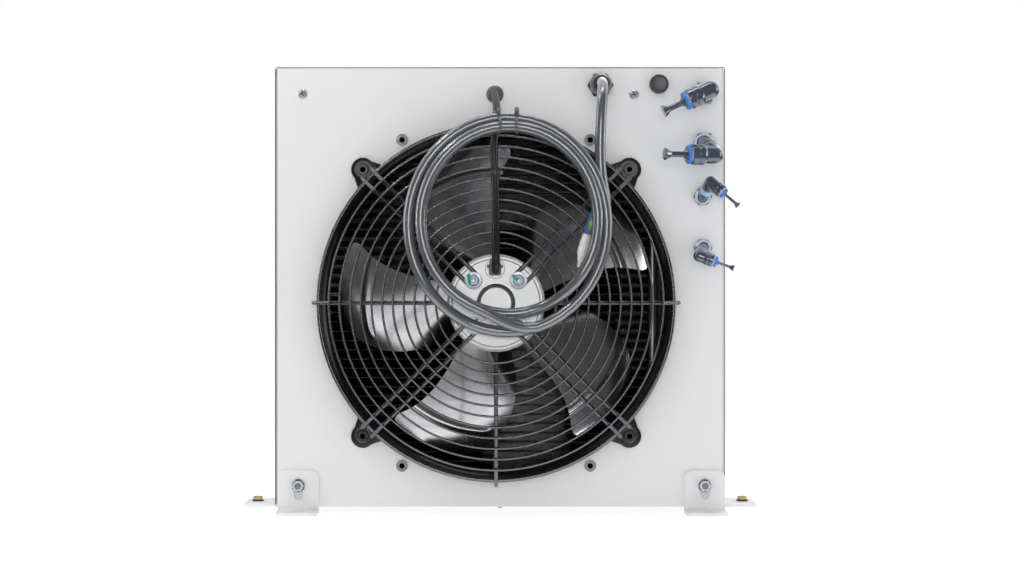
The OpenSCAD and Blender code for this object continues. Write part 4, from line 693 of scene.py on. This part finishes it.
class CHILLER_OT_fan(bpy.types.Operator):
    """Fan blades with their pressed beads, on a rolled band"""

    bl_idname = "chiller.fan"
    bl_label = "Fan"

    def execute(self, context):
        fan = context.scene.chiller_fan
        rows, cols = BLADE_ROWS, BLADE_COLS
        middle = [blade_middle(row / rows, col / cols, fan.bead / MM)
                  for row in range(rows + 1) for col in range(cols + 1)]
        points = [p + Vector((0, 0, skin)) for skin in (BLADE_SKIN, -BLADE_SKIN) for p in middle]

        def at(skin, row, col):
            return skin * len(middle) + row * (cols + 1) + col

        faces = []
        for row in range(rows):
            for col in range(cols):
                quad = (at(0, row, col), at(0, row + 1, col), at(0, row + 1, col + 1), at(0, row, col + 1))
                faces += [quad, tuple(len(middle) + v for v in reversed(quad))]
        rim = [(0, col) for col in range(cols)] + [(row, cols) for row in range(rows)]
        rim += [(rows, col) for col in range(cols, 0, -1)] + [(row, 0) for row in range(rows, 0, -1)]
        faces += [(at(0, *a), at(0, *b), at(1, *b), at(1, *a)) for a, b in zip(rim, rim[1:] + rim[:1])]
        form = Form()
        for i in range(fan.blades):
            form.faces(FAN_FRAME @ turn("Z", 360 * i / fan.blades), points, faces, "blade_enamel")
        band = washer(BLADE_ROOT_R - 1, BLADE_ROOT_R + 1, -39.6, 4.4)
        form.lathe(FAN_FRAME, rounded(band, 0.6), "blade_enamel", 96, loop=True)
        form.piece("blades_pressed", "blade_steel", ("fan_blades",), "fan_rotor", crease=40)
        return {"FINISHED"}


# ---- motor

MOTOR_PROFILE = (
    (0, -48), (8, -48), (8, 38), (40, 38), (40, 52), (46.3, 52), (46.8, 52.5), (46.8, 57.2), (46.1, 58), (45.5, 58),
    (45.3, 56.9), (44.7, 56.9), (44.5, 58), (42.3, 58), (42.1, 57.2), (41.6, 57.2), (41.4, 58), (18.4, 58),
    (17.9, 58.3), (15.1, 59.8), (14.4, 60), (0, 60))
CABLE_PLUG = (-1, 32.6)
# Blocks of the cable's plug: height of its middle above the plug's own, half sizes, corner radius, bottom and top
PLUG_BLOCKS = ((0, 5.8, 6.4, 2, 57.5, 61.8), (2.2, 7.6, 1.6, 0.6, 57.5, 60.2), (4.4, 5, 3.4, 1.4, 61, 65))


class CHILLER_OT_motor(bpy.types.Operator):
    """Fan motor: turned end plate with its grooves, raised boss and cable plug"""

    bl_idname = "chiller.motor"
    bl_label = "Motor"

    def execute(self, context):
        form = Form()
        form.lathe(FAN_FRAME, MOTOR_PROFILE, "cast_aluminium", 96)
        plug = FAN_FRAME @ move(*CABLE_PLUG, 0)
        # A grey ring for the recess round the cable plug: painted shade
        form.lathe(plug, washer(9.0, 9.6, 57.6, 58.06), "painted_shade_grey", 48, loop=True)
        for up, half_w, half_h, r, low, high in PLUG_BLOCKS:
            form.prism(plug @ move(0, up, 0), rounded_box(half_w, half_h, r), low, high, "black_nylon")
        form.piece("motor_turned", "cast_aluminium", ("motor",), bevel=0.15, crease=12)
        return {"FINISHED"}


# ---- water fittings

# Sideways place, height, size (1 large, 0 small), lean direction, lean and leg direction of each port
PORTS = ((199, 410, 1, 10, 7, 205.5), (199.5, 360, 1, -60, 30, 180), (198, 309, 0, 66, 36, -41.5),
         (198.2, 259, 0, -124, 25, -20))
# The port whose swivel neck is clear
CLEAR_NECK = 2
# Sizes of the small fitting and of the large one
FITTING = dict(
    hex=(16, 21), hex_h=(6, 8), stem_r=(5.2, 7.6), stem_l=(8, 9), neck_r=(6, 8.8), neck_l=(24, 28),
    collar_from=(6.2, 10.5), collar_to=(14.4, 23.7), collar_r=(6.7, 10.2), collet_r=(5.6, 9.3), bore_r=(3.2, 6.2),
    flange=(2.4, 2.8), travel=(1.5, 1.6), plug_r=(2.9, 5.9), grip_r=(1.4, 2.9), end=(35.4, 51), flare_r=(3.2, 6),
    flare_l=(2.5, 4))


def port_frame(i):
    """Frame of port i: Z runs up its leaning neck from the top of the hexagon."""
    x, z, size, lean_to, lean, leg = PORTS[i]
    return at_rear(x, z, FITTING["hex_h"][size]) @ turn("Z", lean_to) @ turn("Y", lean)


def leg_frame(i):
    """Frame of the elbow's leg at port i: Z runs along it from the middle of the head."""
    x, z, size, lean_to, lean, leg = PORTS[i]
    off = radians(leg - lean_to)
    swing = degrees(atan2(sin(off) * cos(radians(lean)), cos(off)))
    return port_frame(i) @ turn("Z", swing) @ move(0, 0, FITTING["neck_l"][size]) @ turn("Y", 90)


def bulkhead(form, i, s):
    """Hexagons on both faces of the panel, with the threaded body and the stem that the elbow turns on."""
    x, z = PORTS[i][:2]
    r, stem_top = s["stem_r"], s["stem_l"]
    hexagon(form, at_rear(x, z), s["hex"], 0, s["hex_h"], "glossy_nylon", 2.2)
    hexagon(form, at_rear(x, z, -2 - s["hex_h"]), s["hex"], 0, s["hex_h"], "glossy_nylon")
    form.lathe(at_rear(x, z), rod(r, -14, s["hex_h"]), "glossy_nylon")
    stem = [(0, -4), (r, -4), (r, stem_top), (r - 1.6, stem_top), (r - 1.6, stem_top + 3), (0, stem_top + 3)]
    form.lathe(port_frame(i), rounded(stem, 0.4), "glossy_nylon", 36)


def elbow(form, i, s):
    """Grooved neck, ball-shaped head and leg with its grooved collar, open for the collet."""
    neck, leg = port_frame(i), leg_frame(i)
    r, low, c, a, b = s["neck_r"], s["stem_l"] + 0.3, s["collar_r"], s["collar_from"], s["collar_to"]
    middle, bore = (a + b) / 2, s["bore_r"] + 0.1
    if i == CLEAR_NECK:
        form.lathe(neck, rod(r + 0.1, low - 0.2, low + 6.5), "clear_blue_nylon", 40)
    barrel = [(0, low), (r - 0.5, low), (r, low + 1), (r, low + 3.2), (r - 0.45, low + 3.6), (r - 0.45, low + 4.6),
              (r, low + 5), (r, s["neck_l"]), (0, s["neck_l"])]
    form.lathe(neck, rounded(barrel, 0.3, 2), "glossy_nylon", 40)
    form.lathe(leg, [polar(r, angle) for angle in range(-90, 91, 12)], "glossy_nylon", 40)
    form.lathe(leg, rod(r, 0, a), "glossy_nylon", 40)
    collar = [(0, a - 1.2), (r, a - 1.2), (c - 0.6, a + 0.4), (c, a + 1.6), (c, middle - 0.8), (c - 0.35, middle - 0.5),
              (c - 0.35, middle + 0.5), (c, middle + 0.8), (c, b), (c * 0.74, b), (c * 0.74, b - 4), (bore, b - 4),
              (bore, a + 1.6), (0, a + 1.6)]
    form.lathe(leg, rounded(collar, 0.45, 3), "glossy_nylon", 44)
    form.piece(f"elbow_{i + 1}_moulded", "black_plastic", (f"elbow_{i + 1}",), f"elbow_{i + 1}")


def release_ring(form, i, s):
    """Pale tube that slides in the collar, with the blue flange that a finger presses."""
    b, r, big = s["collar_to"], s["bore_r"], s["collet_r"]
    low, high = b + s["travel"], b + s["travel"] + s["flange"]
    form.lathe(leg_frame(i), washer(r, s["collar_r"] * 0.72, b - 2.3, low), "pale_acetal", 44, loop=True)
    flange = [(r, low), (big, low), (big, low + s["flange"] * 0.55), (big - 1, high), (r, high), (r, low)]
    form.lathe(leg_frame(i), rounded(flange, 0.4, 3), "blue_acetal", 44)
    form.piece(f"release_ring_{i + 1}", "blue_plastic", (f"collet_{i + 1}",), f"collet_{i + 1}")


def blanking_plug(form, i, s):
    """Plug that narrows to a grip and flares at its end."""
    low, front, end = s["collar_from"] + 2, s["collar_to"] + s["travel"] + s["flange"], s["end"]
    p, q, w = s["plug_r"], s["grip_r"], s["flare_r"]
    profile = [(0, low), (p, low), (p, front + 0.3), (q, front + 0.6 * p), (q, end - 1.7 * s["flare_l"]),
               (w, end - 0.9), (w, end - 0.2), (w - 0.5, end), (0, end)]
    form.lathe(leg_frame(i), rounded(profile, 0.35, 3), "glossy_nylon", 36)
    form.piece(f"blanking_plug_{i + 1}", "black_plastic", (f"plug_{i + 1}",), f"plug_{i + 1}")


class CHILLER_OT_fittings(bpy.types.Operator):
    """Bulkheads, swivelling elbows, release rings and blanking plugs of the four ports"""

    bl_idname = "chiller.fittings"
    bl_label = "Fittings"

    def execute(self, context):
        base = Form()
        for i, port in enumerate(PORTS):
            size = {name: pair[port[2]] for name, pair in FITTING.items()}
            bulkhead(base, i, size)
            for build in (elbow, release_ring, blanking_plug):
                build(Form(), i, size)
        base.piece("bulkhead_bodies", "black_plastic", ("bulkheads",), bevel=0.3)
        return {"FINISHED"}


# ---- rear panel fittings

GLAND, ALARM_CAP = (98, 417.7), (154.8, 418.3)
PANEL_SCREWS = ((-193, 409.7), (131, 409))
BRACKET_BOLTS_X, BRACKET_BOLT_Z = (-197, 199.9), 26.5
# Black discs painted as the shade in the rear brackets' floor holes: their distance out of the panel
FLOOR_HOLE_SHADE_OUT = 23.2
# The screw under the cabinet: in from the panel, and height
UNDER_SCREW_IN, UNDER_SCREW_Z = 16.4, 6
# Side brackets: middles of their floor holes, sideways and in from either end of the cabinet
SIDE_BOLT_X, SIDE_BOLT_IN = 247, 101
MOTOR_BOLT_R = 30.4
# Marking lacquer on each motor screw: direction, distance and radius of its dabs
DABS = (((140, 6.3, 1.5), (148, 2.6, 1.9)), ((135, 6.4, 1.7), (155, 4.4, 1.6), (190, 3.8, 1.5), (222, 4.2, 1.2)),
        ((80, 4.2, 1.6), (60, 6.4, 1.2)), ((100, 4.2, 1.6), (120, 6.4, 1.2)))
GLAND_PROFILE = ((9.6, 7), (10.9, 7.6), (10.7, 17), (9.7, 22.5), (7.6, 28.6), (6.1, 29), (5.5, 28.2), (5.5, 12))
SCREW_PROFILE = ((2.4, 46), (2.4, 63), (5.6, 63.6), (5.6, 64.6), (4.6, 66.8), (4.2, 67.4), (2.9, 67.5), (2.6, 65.2),
                 (0, 65.2))
# Outlines of the grey strips painted as the shade in the joints at the left, right and top edges of the rear panel
SEAMS = ((-220, 8, -218.4, 434), (219, 8, 219.9, 434), (-218.4, 434.6, 219, 435.4))


def gland():
    form, place = Form(), at_rear(*GLAND)
    hexagon(form, place, 22, 0, 7, "black_nylon", 1.4)
    form.lathe(place, rounded(GLAND_PROFILE, 1.2, 4), "black_nylon", 48)
    for k in range(16):
        rib = rounded([(0.1, 0, 8), (0, 0, 16.5), (-1.2, 0, 22)], 3)
        form.tube(place @ turn("Z", 22.5 * k) @ move(10.6, 0, 0), rib, 0.5, "black_nylon", 8)
    hexagon(form, at_rear(*GLAND, -9), 22, 0, 7, "black_nylon")
    form.lathe(place, washer(5.5, 9.5, -21, 0), "black_nylon", 36, loop=True)
    form.piece("gland_moulded", "black_plastic", ("cord_gland",))


def alarm_cap():
    form, place = Form(), at_rear(*ALARM_CAP)
    form.prism(place, [polar(9.35 if k % 3 else 8.8, 5 * k) for k in range(72)], 3.4, 12.4, "black_nylon")
    form.lathe(place, rounded([(7.8, 2.3), (9.0, 2.3), (9.2, 3.5), (0, 3.5)], 0.3, 2), "black_nylon")
    top = [(9.2, 12.2), (8.9, 13.1), (7.4, 13.3), (7.1, 12.7), (0, 12.7)]
    form.lathe(place, rounded(top, 0.3, 3), "black_nylon")
    form.piece("alarm_cap_knurled", "black_plastic", ("alarm_cap",), "alarm_cap", 0.15, 15)


def screws():
    form = Form()
    for x, z in PANEL_SCREWS:
        pan_head(form, at_rear(x, z), 5, 2.4)
    pan_head(form, move(0, REAR_Y / MM + UNDER_SCREW_IN, UNDER_SCREW_Z) @ turn("X", 180), 3.6, 2.6)
    form.piece("screws_cross_recessed", "bright_zinc", ("panel_screws",))


def motor_screws():
    form = Form()
    for k, dabs in enumerate(DABS):
        angle = 45 + 90 * k
        place = FAN_FRAME @ turn("Z", angle) @ move(MOTOR_BOLT_R, 0, 0)
        form.lathe(place, rounded(washer(2.5, 8.2, 62, 63.6), 0.5, 3), "bright_zinc", 48)
        form.lathe(place, rounded(SCREW_PROFILE, 0.5, 3), "bright_zinc", 40)
        for direction, r, w in dabs:
            dab = place @ turn("Z", direction - angle) @ move(r, 0, 63.6 if r > 5.6 else 66.9)
            form.lathe(dab, [(0, 1.2), (w * 0.6, 1.0), (w, 0.4), (w * 0.9, -0.6), (0, -0.8)], "thread_lock", 12)
    form.piece("motor_screws", "bright_zinc", ("motor_bolts",))


def bracket_bolts():
    form = Form()
    for x in BRACKET_BOLTS_X:
        place = at_rear(x, BRACKET_BOLT_Z, 3)
        form.lathe(place, rounded(washer(3, 6, 0, 1.5), 0.3, 2), "black_enamel_and_painted_shade", 40)
        hexagon(form, place, 10, 1.5, 6.5, "bright_zinc", 1.4)
        form.lathe(place, rounded([(0, -5), (3, -5), (3, 10.4), (2.4, 11), (0, 11)], 0.3, 2), "dull_steel", 24)
    for y in (REAR_Y / MM + SIDE_BOLT_IN, FRONT_Y / MM - SIDE_BOLT_IN):
        for side in (-1, 1):
            place = move(side * SIDE_BOLT_X, y, 3)
            form.lathe(place, rounded(washer(2.5, 6, 0, 1.6), 0.4, 2), "black_enamel_and_painted_shade", 40)
            hexagon(form, place, 8, 1.6, 5.1, "yellow_zinc", 0.7)
            form.lathe(place, rod(2.5, -3, 1.6), "yellow_zinc", 24)
    form.piece("hexagon_bolts", "yellow_zinc", ("bracket_bolts",), bevel=0.15)


def painted_joint_and_hole_shade():
    form = Form()
    # Black discs under the brackets' floor holes, where the white floor would show: painted shade
    for x in BRACKET_BOLTS_X:
        place = move(x, REAR_Y / MM - FLOOR_HOLE_SHADE_OUT, 0.2)
        form.lathe(place, [(0, 0), (3.3, 0), (3.3, 1.6), (0, 1.9)], "black_enamel_and_painted_shade", 24)
    # Grey strips along the panel's edges: painted shade in its joints
    for seam in SEAMS:
        form.prism(at_rear(0, 0), rectangle(*seam), -1, 0.12, "painted_shade_grey")
    form.piece("painted_joint_and_hole_shade", "grey_plastic")


class CHILLER_OT_rear_fittings(bpy.types.Operator):
    """Cord gland, alarm cap, panel screws, motor bolts, bracket bolts, and painted shade in the panel's joints and
    floor holes
    """

    bl_idname = "chiller.rear_fittings"
    bl_label = "Rear fittings"

    def execute(self, context):
        for build in (gland, alarm_cap, screws, motor_screws, bracket_bolts, painted_joint_and_hole_shade):
            build()
        return {"FINISHED"}


# ---- condenser

CORE_LEFT, CORE_RIGHT, CORE_LOW, CORE_H, TUBE_PITCH = -186, 150, 20, 366, 9.4
CORE_NEAR, CORE_DEEP = REAR_Y / MM + 88, REAR_Y / MM + 114
FRAME_LEFT, FRAME_RIGHT, FRAME_LOW, FRAME_HIGH, CLOSING_PLATE_X = -197, 185, 8, 396, 163
# A flat tube's section, as depth behind the core's face and height above its middle line
TUBE_SECTION = ((3, 0.3), (23, 0.3), (26, 0.8), (26, 1.2), (23, 1.7), (3, 1.7), (0.4, 1.3), (0.4, 0.7))
FOLDS = 360
# Header pipes: sideways place and radius
HEADERS = ((CORE_LEFT, 8), (155.5, 6.5))


class CHILLER_OT_condenser(bpy.types.Operator):
    """Condenser: flat tubes with zigzag fins between them, header pipes and side frames"""

    bl_idname = "chiller.condenser"
    bl_label = "Condenser"

    def execute(self, context):
        form, room = Form(), Matrix()
        rows = int((CORE_H - TUBE_PITCH) // TUBE_PITCH) + 1
        for k in range(rows):
            z = CORE_LOW + TUBE_PITCH * (k + 0.5)
            ends = [[(x, CORE_NEAR + y, z + h) for y, h in TUBE_SECTION] for x in (CORE_LEFT, CORE_RIGHT)]
            form.skin(room, ends, "bare_aluminium", capped=False)
            if k < rows - 1:
                # Fins between the tubes, dark grey as painted shade inside the fan housing
                points = []
                for j in range(FOLDS + 1):
                    x = CORE_LEFT + (CORE_RIGHT - CORE_LEFT) * j / FOLDS
                    h = z + 2.1 if j % 2 else z + TUBE_PITCH - 0.1
                    points += [(x, CORE_NEAR + 1.5, h), (x, CORE_NEAR + 23, h)]
                form.faces(room, points, [(j, j + 1, j + 3, j + 2) for j in range(0, 2 * FOLDS, 2)], "painted_shade_fin")
        for x, r in HEADERS:
            pipe = move(x, (CORE_NEAR + CORE_DEEP) / 2 - 8 + r, CORE_LOW)
            form.lathe(pipe, rounded(rod(r, 0, CORE_H), 1.5, 3), "satin_steel", 32)
        for x0, x1, y0, y1, low, high in (
            (FRAME_LEFT, FRAME_RIGHT, CORE_NEAR, CORE_DEEP, FRAME_LOW, CORE_LOW),
            (FRAME_LEFT, FRAME_RIGHT, CORE_NEAR, CORE_DEEP, CORE_LOW + CORE_H, FRAME_HIGH),
            (FRAME_LEFT, CORE_LEFT + 1, CORE_NEAR + 3, CORE_NEAR + 6, FRAME_LOW, FRAME_HIGH),
            (CLOSING_PLATE_X, FRAME_RIGHT, CORE_NEAR + 3, CORE_NEAR + 6, FRAME_LOW, FRAME_HIGH),
        ):
            form.prism(room, rectangle(x0, y0, x1, y1), low, high, "black_enamel_and_painted_shade")
        form.piece("condenser_core", "bare_aluminium", ("condenser",), bevel=0.2)
        return {"FINISHED"}


# ---- front panel

WINDOW, DIGIT_PITCH, DIGITS = (70, 378), 14, ("abged", "abcdef", "abcdef")
# Bars of a digit: sideways and upward share of its half size, and whether the bar stands upright
BARS = {"a": (0, 1, False), "b": (1, 0.5, True), "c": (1, -0.5, True), "d": (0, -1, False), "e": (-1, -0.5, True),
        "f": (-1, 0.5, True), "g": (0, 0, False)}


class CHILLER_OT_front_fittings(bpy.types.Operator):
    """Display window with its reading"""

    bl_idname = "chiller.front_fittings"
    bl_label = "Front fittings"

    def execute(self, context):
        window = at_front(*WINDOW)
        form = Form()
        form.prism(window @ move(-DIGIT_PITCH, 0, 0), rectangle(-30, -15, 30, 15), 2.6, 3.6, "smoked_window")
        for k, lit in enumerate(DIGITS):
            for bar in lit:
                sx, sy, upright = BARS[bar]
                x, y = DIGIT_PITCH * (k - 2) + sx * 4, sy * 8
                w, h = (0.7, 3.2) if upright else (3.2, 0.7)
                form.prism(window, rectangle(x - w, y - h, x + w, y + h), 3.55, 3.7, "lit_segment")
        form.prism(window, rectangle(-8.4, -8.7, -7, -7.3), 3.55, 3.7, "lit_segment")
        form.piece("display_window", "black_plastic", bevel=0.15)
        return {"FINISHED"}


# ---- finishes of the solids

NODE_FINISHES = {
    "powder_coat": ("left_side_panel right_side_panel top_cover rear_panel front_panel rack_ears rear_brackets "
                    "side_brackets intake_door"),
    "galvanised_sheet": "base_pan fan_shroud control_box",
    "satin_steel": "handles evaporator",
    "yellow_zinc": "bracket_bolts",
    "bright_zinc": "panel_screws motor_bolts alarm_socket",
    "dull_steel": "rivet_nuts",
    "black_enamel_and_painted_shade": "wall_ring ring_rivets rotor_can compressor",
    "cable_sheath": "water_hoses",
    "grey_nylon": "cable_grommet",
    "black_nylon": ("cord_gland alarm_cap bulkheads elbow_1 elbow_2 elbow_3 elbow_4 plug_1 plug_2 plug_3 plug_4 "
                    "controller power_switch switch_rocker filler_cap"),
    "blue_acetal": "collet_1 collet_2 collet_3 collet_4",
    "bare_aluminium": "condenser",
    "tank_polyethylene": "water_tank",
    "blue_enamel": "pump",
    "drawn_copper": "refrigerant_pipes",
    "filter_foam": "dust_filter",
    "grey_key": "up_key down_key",
}
EASED = {"rear_brackets": 0.6, "side_brackets": 0.6, "wall_ring": 0.6, "controller": 0.6,
         "power_switch": 0.4, "switch_rocker": 0.3, "filler_cap": 0.8}


def smooth_group():
    """Modifier nodes that shade a solid smooth, apart from its sharp edges."""
    group = bpy.data.node_groups.new("smooth shading", "GeometryNodeTree")
    for in_out in ("INPUT", "OUTPUT"):
        group.interface.new_socket("Geometry", in_out=in_out, socket_type="NodeSocketGeometry")
    start = node(group, "NodeGroupInput")
    angle = node(group, "GeometryNodeInputMeshEdgeAngle").outputs["Unsigned Angle"]
    sharp = node(group, "FunctionNodeCompare", {0: angle, 1: radians(SHARP_ANGLE)}, data_type="FLOAT",
                 operation="GREATER_THAN")
    faces = node(group, "GeometryNodeSetShadeSmooth", {"Geometry": start.outputs[0]}, domain="FACE")
    sockets = {"Geometry": faces.outputs[0], "Selection": sharp.outputs[0], "Shade Smooth": False}
    edges = node(group, "GeometryNodeSetShadeSmooth", sockets, domain="EDGE")
    node(group, "NodeGroupOutput", {0: edges.outputs[0]})
    return group


class CHILLER_OT_finishes(bpy.types.Operator):
    """Finishes and eased edges of the solids that show as they are"""

    bl_idname = "chiller.finishes"
    bl_label = "Finishes"

    def execute(self, context):
        group = smooth_group()
        for name, solids in NODE_FINISHES.items():
            for solid in solids.split():
                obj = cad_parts[solid]
                if not obj.material_slots:
                    obj.data.materials.append(None)
                for place in obj.material_slots:
                    place.link = "OBJECT"
                    place.material = finish(name)
                weld = obj.modifiers.new("shared corners", "WELD")
                weld.merge_threshold = 1e-5
                if solid in EASED:
                    ease_edges(obj, EASED[solid])
                shade = obj.modifiers.new("smooth shading", "NODES")
                shade.node_group = group
        return {"FINISHED"}


# ---- studio

# Lamps round the rear panel: azimuth to the right of the camera's side, elevation, distance, size and power
LAMPS = (
    ("key_upper_left", -72, 50, 3.0, (0.3, 0.3), 10),
    ("overhead", 8, 82, 2.6, (1.6, 0.2), 11),
    ("front_sheet", 0, 5, 4.2, (1.6, 1.6), 26),
    ("left_strip", -86, 8, 2.2, (0.25, 1.3), 6),
    ("right_strip", 86, 8, 2.2, (0.25, 1.3), 6),
    ("back_sky", 165, 30, 3.0, (1.6, 1.6), 9),
)
LAMPS_AIM_Z, FLOOR_HALF = 0.2, 14
# The camera's frame in mm and the shift that puts the object where the photo has it
SENSOR, SHIFT = 36, 0.0117


class CHILLER_OT_stage(bpy.types.Operator):
    """Floor, backdrop, even light, soft lamps and the camera"""

    bl_idname = "chiller.stage"
    bl_label = "Stage"

    def execute(self, context):
        scene = context.scene
        studio = scene.chiller_studio
        scene.view_settings.view_transform = "Standard"
        mesh = bpy.data.meshes.new("studio_floor")
        corners = rectangle(-FLOOR_HALF, -FLOOR_HALF, FLOOR_HALF, FLOOR_HALF)
        mesh.from_pydata([(x, y, 0) for x, y in corners], [], [(0, 1, 2, 3)])
        floor = bpy.data.objects.new("studio_floor", mesh)
        scene.collection.objects.link(floor)
        floor.data.materials.append(studio_white())
        floor.location = (0, (REAR_Y + FRONT_Y) / 2, -0.0005)

        # A dark room behind the camera gives the metals their blacks, the bright side behind the part their whites
        world = scene.world = bpy.data.worlds.new("even white room")
        world.use_nodes = True
        tree = world.node_tree
        tree.nodes.clear()
        place = node(tree, "ShaderNodeTexCoord").outputs["Generated"]
        depth = node(tree, "ShaderNodeVectorMath", {0: place, 1: (0, 1, 0)}, operation="DOT_PRODUCT")
        room = ramp(tree, depth.outputs["Value"], -0.25, 0.4, 0.06, 1.0)
        matt, mirrored, seen = (plain(tree, "ShaderNodeBackground", s) for s in (studio.light, room, 1.0))
        node(tree, "ShaderNodeOutputWorld", {"Surface": by_ray(tree, matt, mirrored, seen)})

        aim = Vector((0, REAR_Y, LAMPS_AIM_Z))
        for name, azimuth, elevation, distance, side, power in LAMPS:
            a, e = radians(azimuth), radians(elevation)
            away = Vector((sin(a) * cos(e), -cos(a) * cos(e), sin(e)))
            data = bpy.data.lights.new(name, "AREA")
            data.shape = "RECTANGLE"
            data.size, data.size_y = side
            data.energy = power
            lamp = bpy.data.objects.new(name, data)
            lamp.location = aim + away * distance
            lamp.rotation_euler = (-away).to_track_quat("-Z", "Y").to_euler()
            scene.collection.objects.link(lamp)

        data = bpy.data.cameras.new("camera")
        data.sensor_width = SENSOR
        data.lens = studio.lens
        data.clip_start, data.clip_end = 0.05, 60
        data.shift_x = data.shift_y = SHIFT
        camera = bpy.data.objects.new("camera", data)
        camera.location = (0, REAR_Y - studio.distance, studio.height)
        camera.rotation_euler = (radians(90), 0, 0)
        scene.collection.objects.link(camera)
        scene.camera = camera
        return {"FINISHED"}


# ---- add-on


class CHILLER_PT_pieces(bpy.types.Panel):
    """Lists the chiller's pieces"""

    bl_idname = "CHILLER_PT_pieces"
    bl_label = "Chiller"
    bl_space_type = "VIEW_3D"
    bl_region_type = "UI"
    bl_category = "Chiller"

    def draw(self, context):
        for operator in OPERATORS:
            self.layout.operator(operator.bl_idname)


GROUPS = {"chiller_cord": ChillerCord, "chiller_guard": ChillerGuard, "chiller_fan": ChillerFan,
          "chiller_studio": ChillerStudio}
OPERATORS = (CHILLER_OT_stage, CHILLER_OT_cords, CHILLER_OT_guard, CHILLER_OT_fan, CHILLER_OT_motor,
             CHILLER_OT_fittings, CHILLER_OT_rear_fittings, CHILLER_OT_condenser, CHILLER_OT_front_fittings,
             CHILLER_OT_finishes)


def register():
    for cls in (*GROUPS.values(), *OPERATORS, CHILLER_PT_pieces):
        bpy.utils.register_class(cls)
    for name, group in GROUPS.items():
        setattr(bpy.types.Scene, name, bpy.props.PointerProperty(type=group))


def unregister():
    for name in GROUPS:
        delattr(bpy.types.Scene, name)
    for cls in reversed((*GROUPS.values(), *OPERATORS, CHILLER_PT_pieces)):
        bpy.utils.unregister_class(cls)


def main():
    register()
    for operator in OPERATORS:
        group, name = operator.bl_idname.split(".")
        getattr(getattr(bpy.ops, group), name)()


if __name__ == "__main__":
    main()
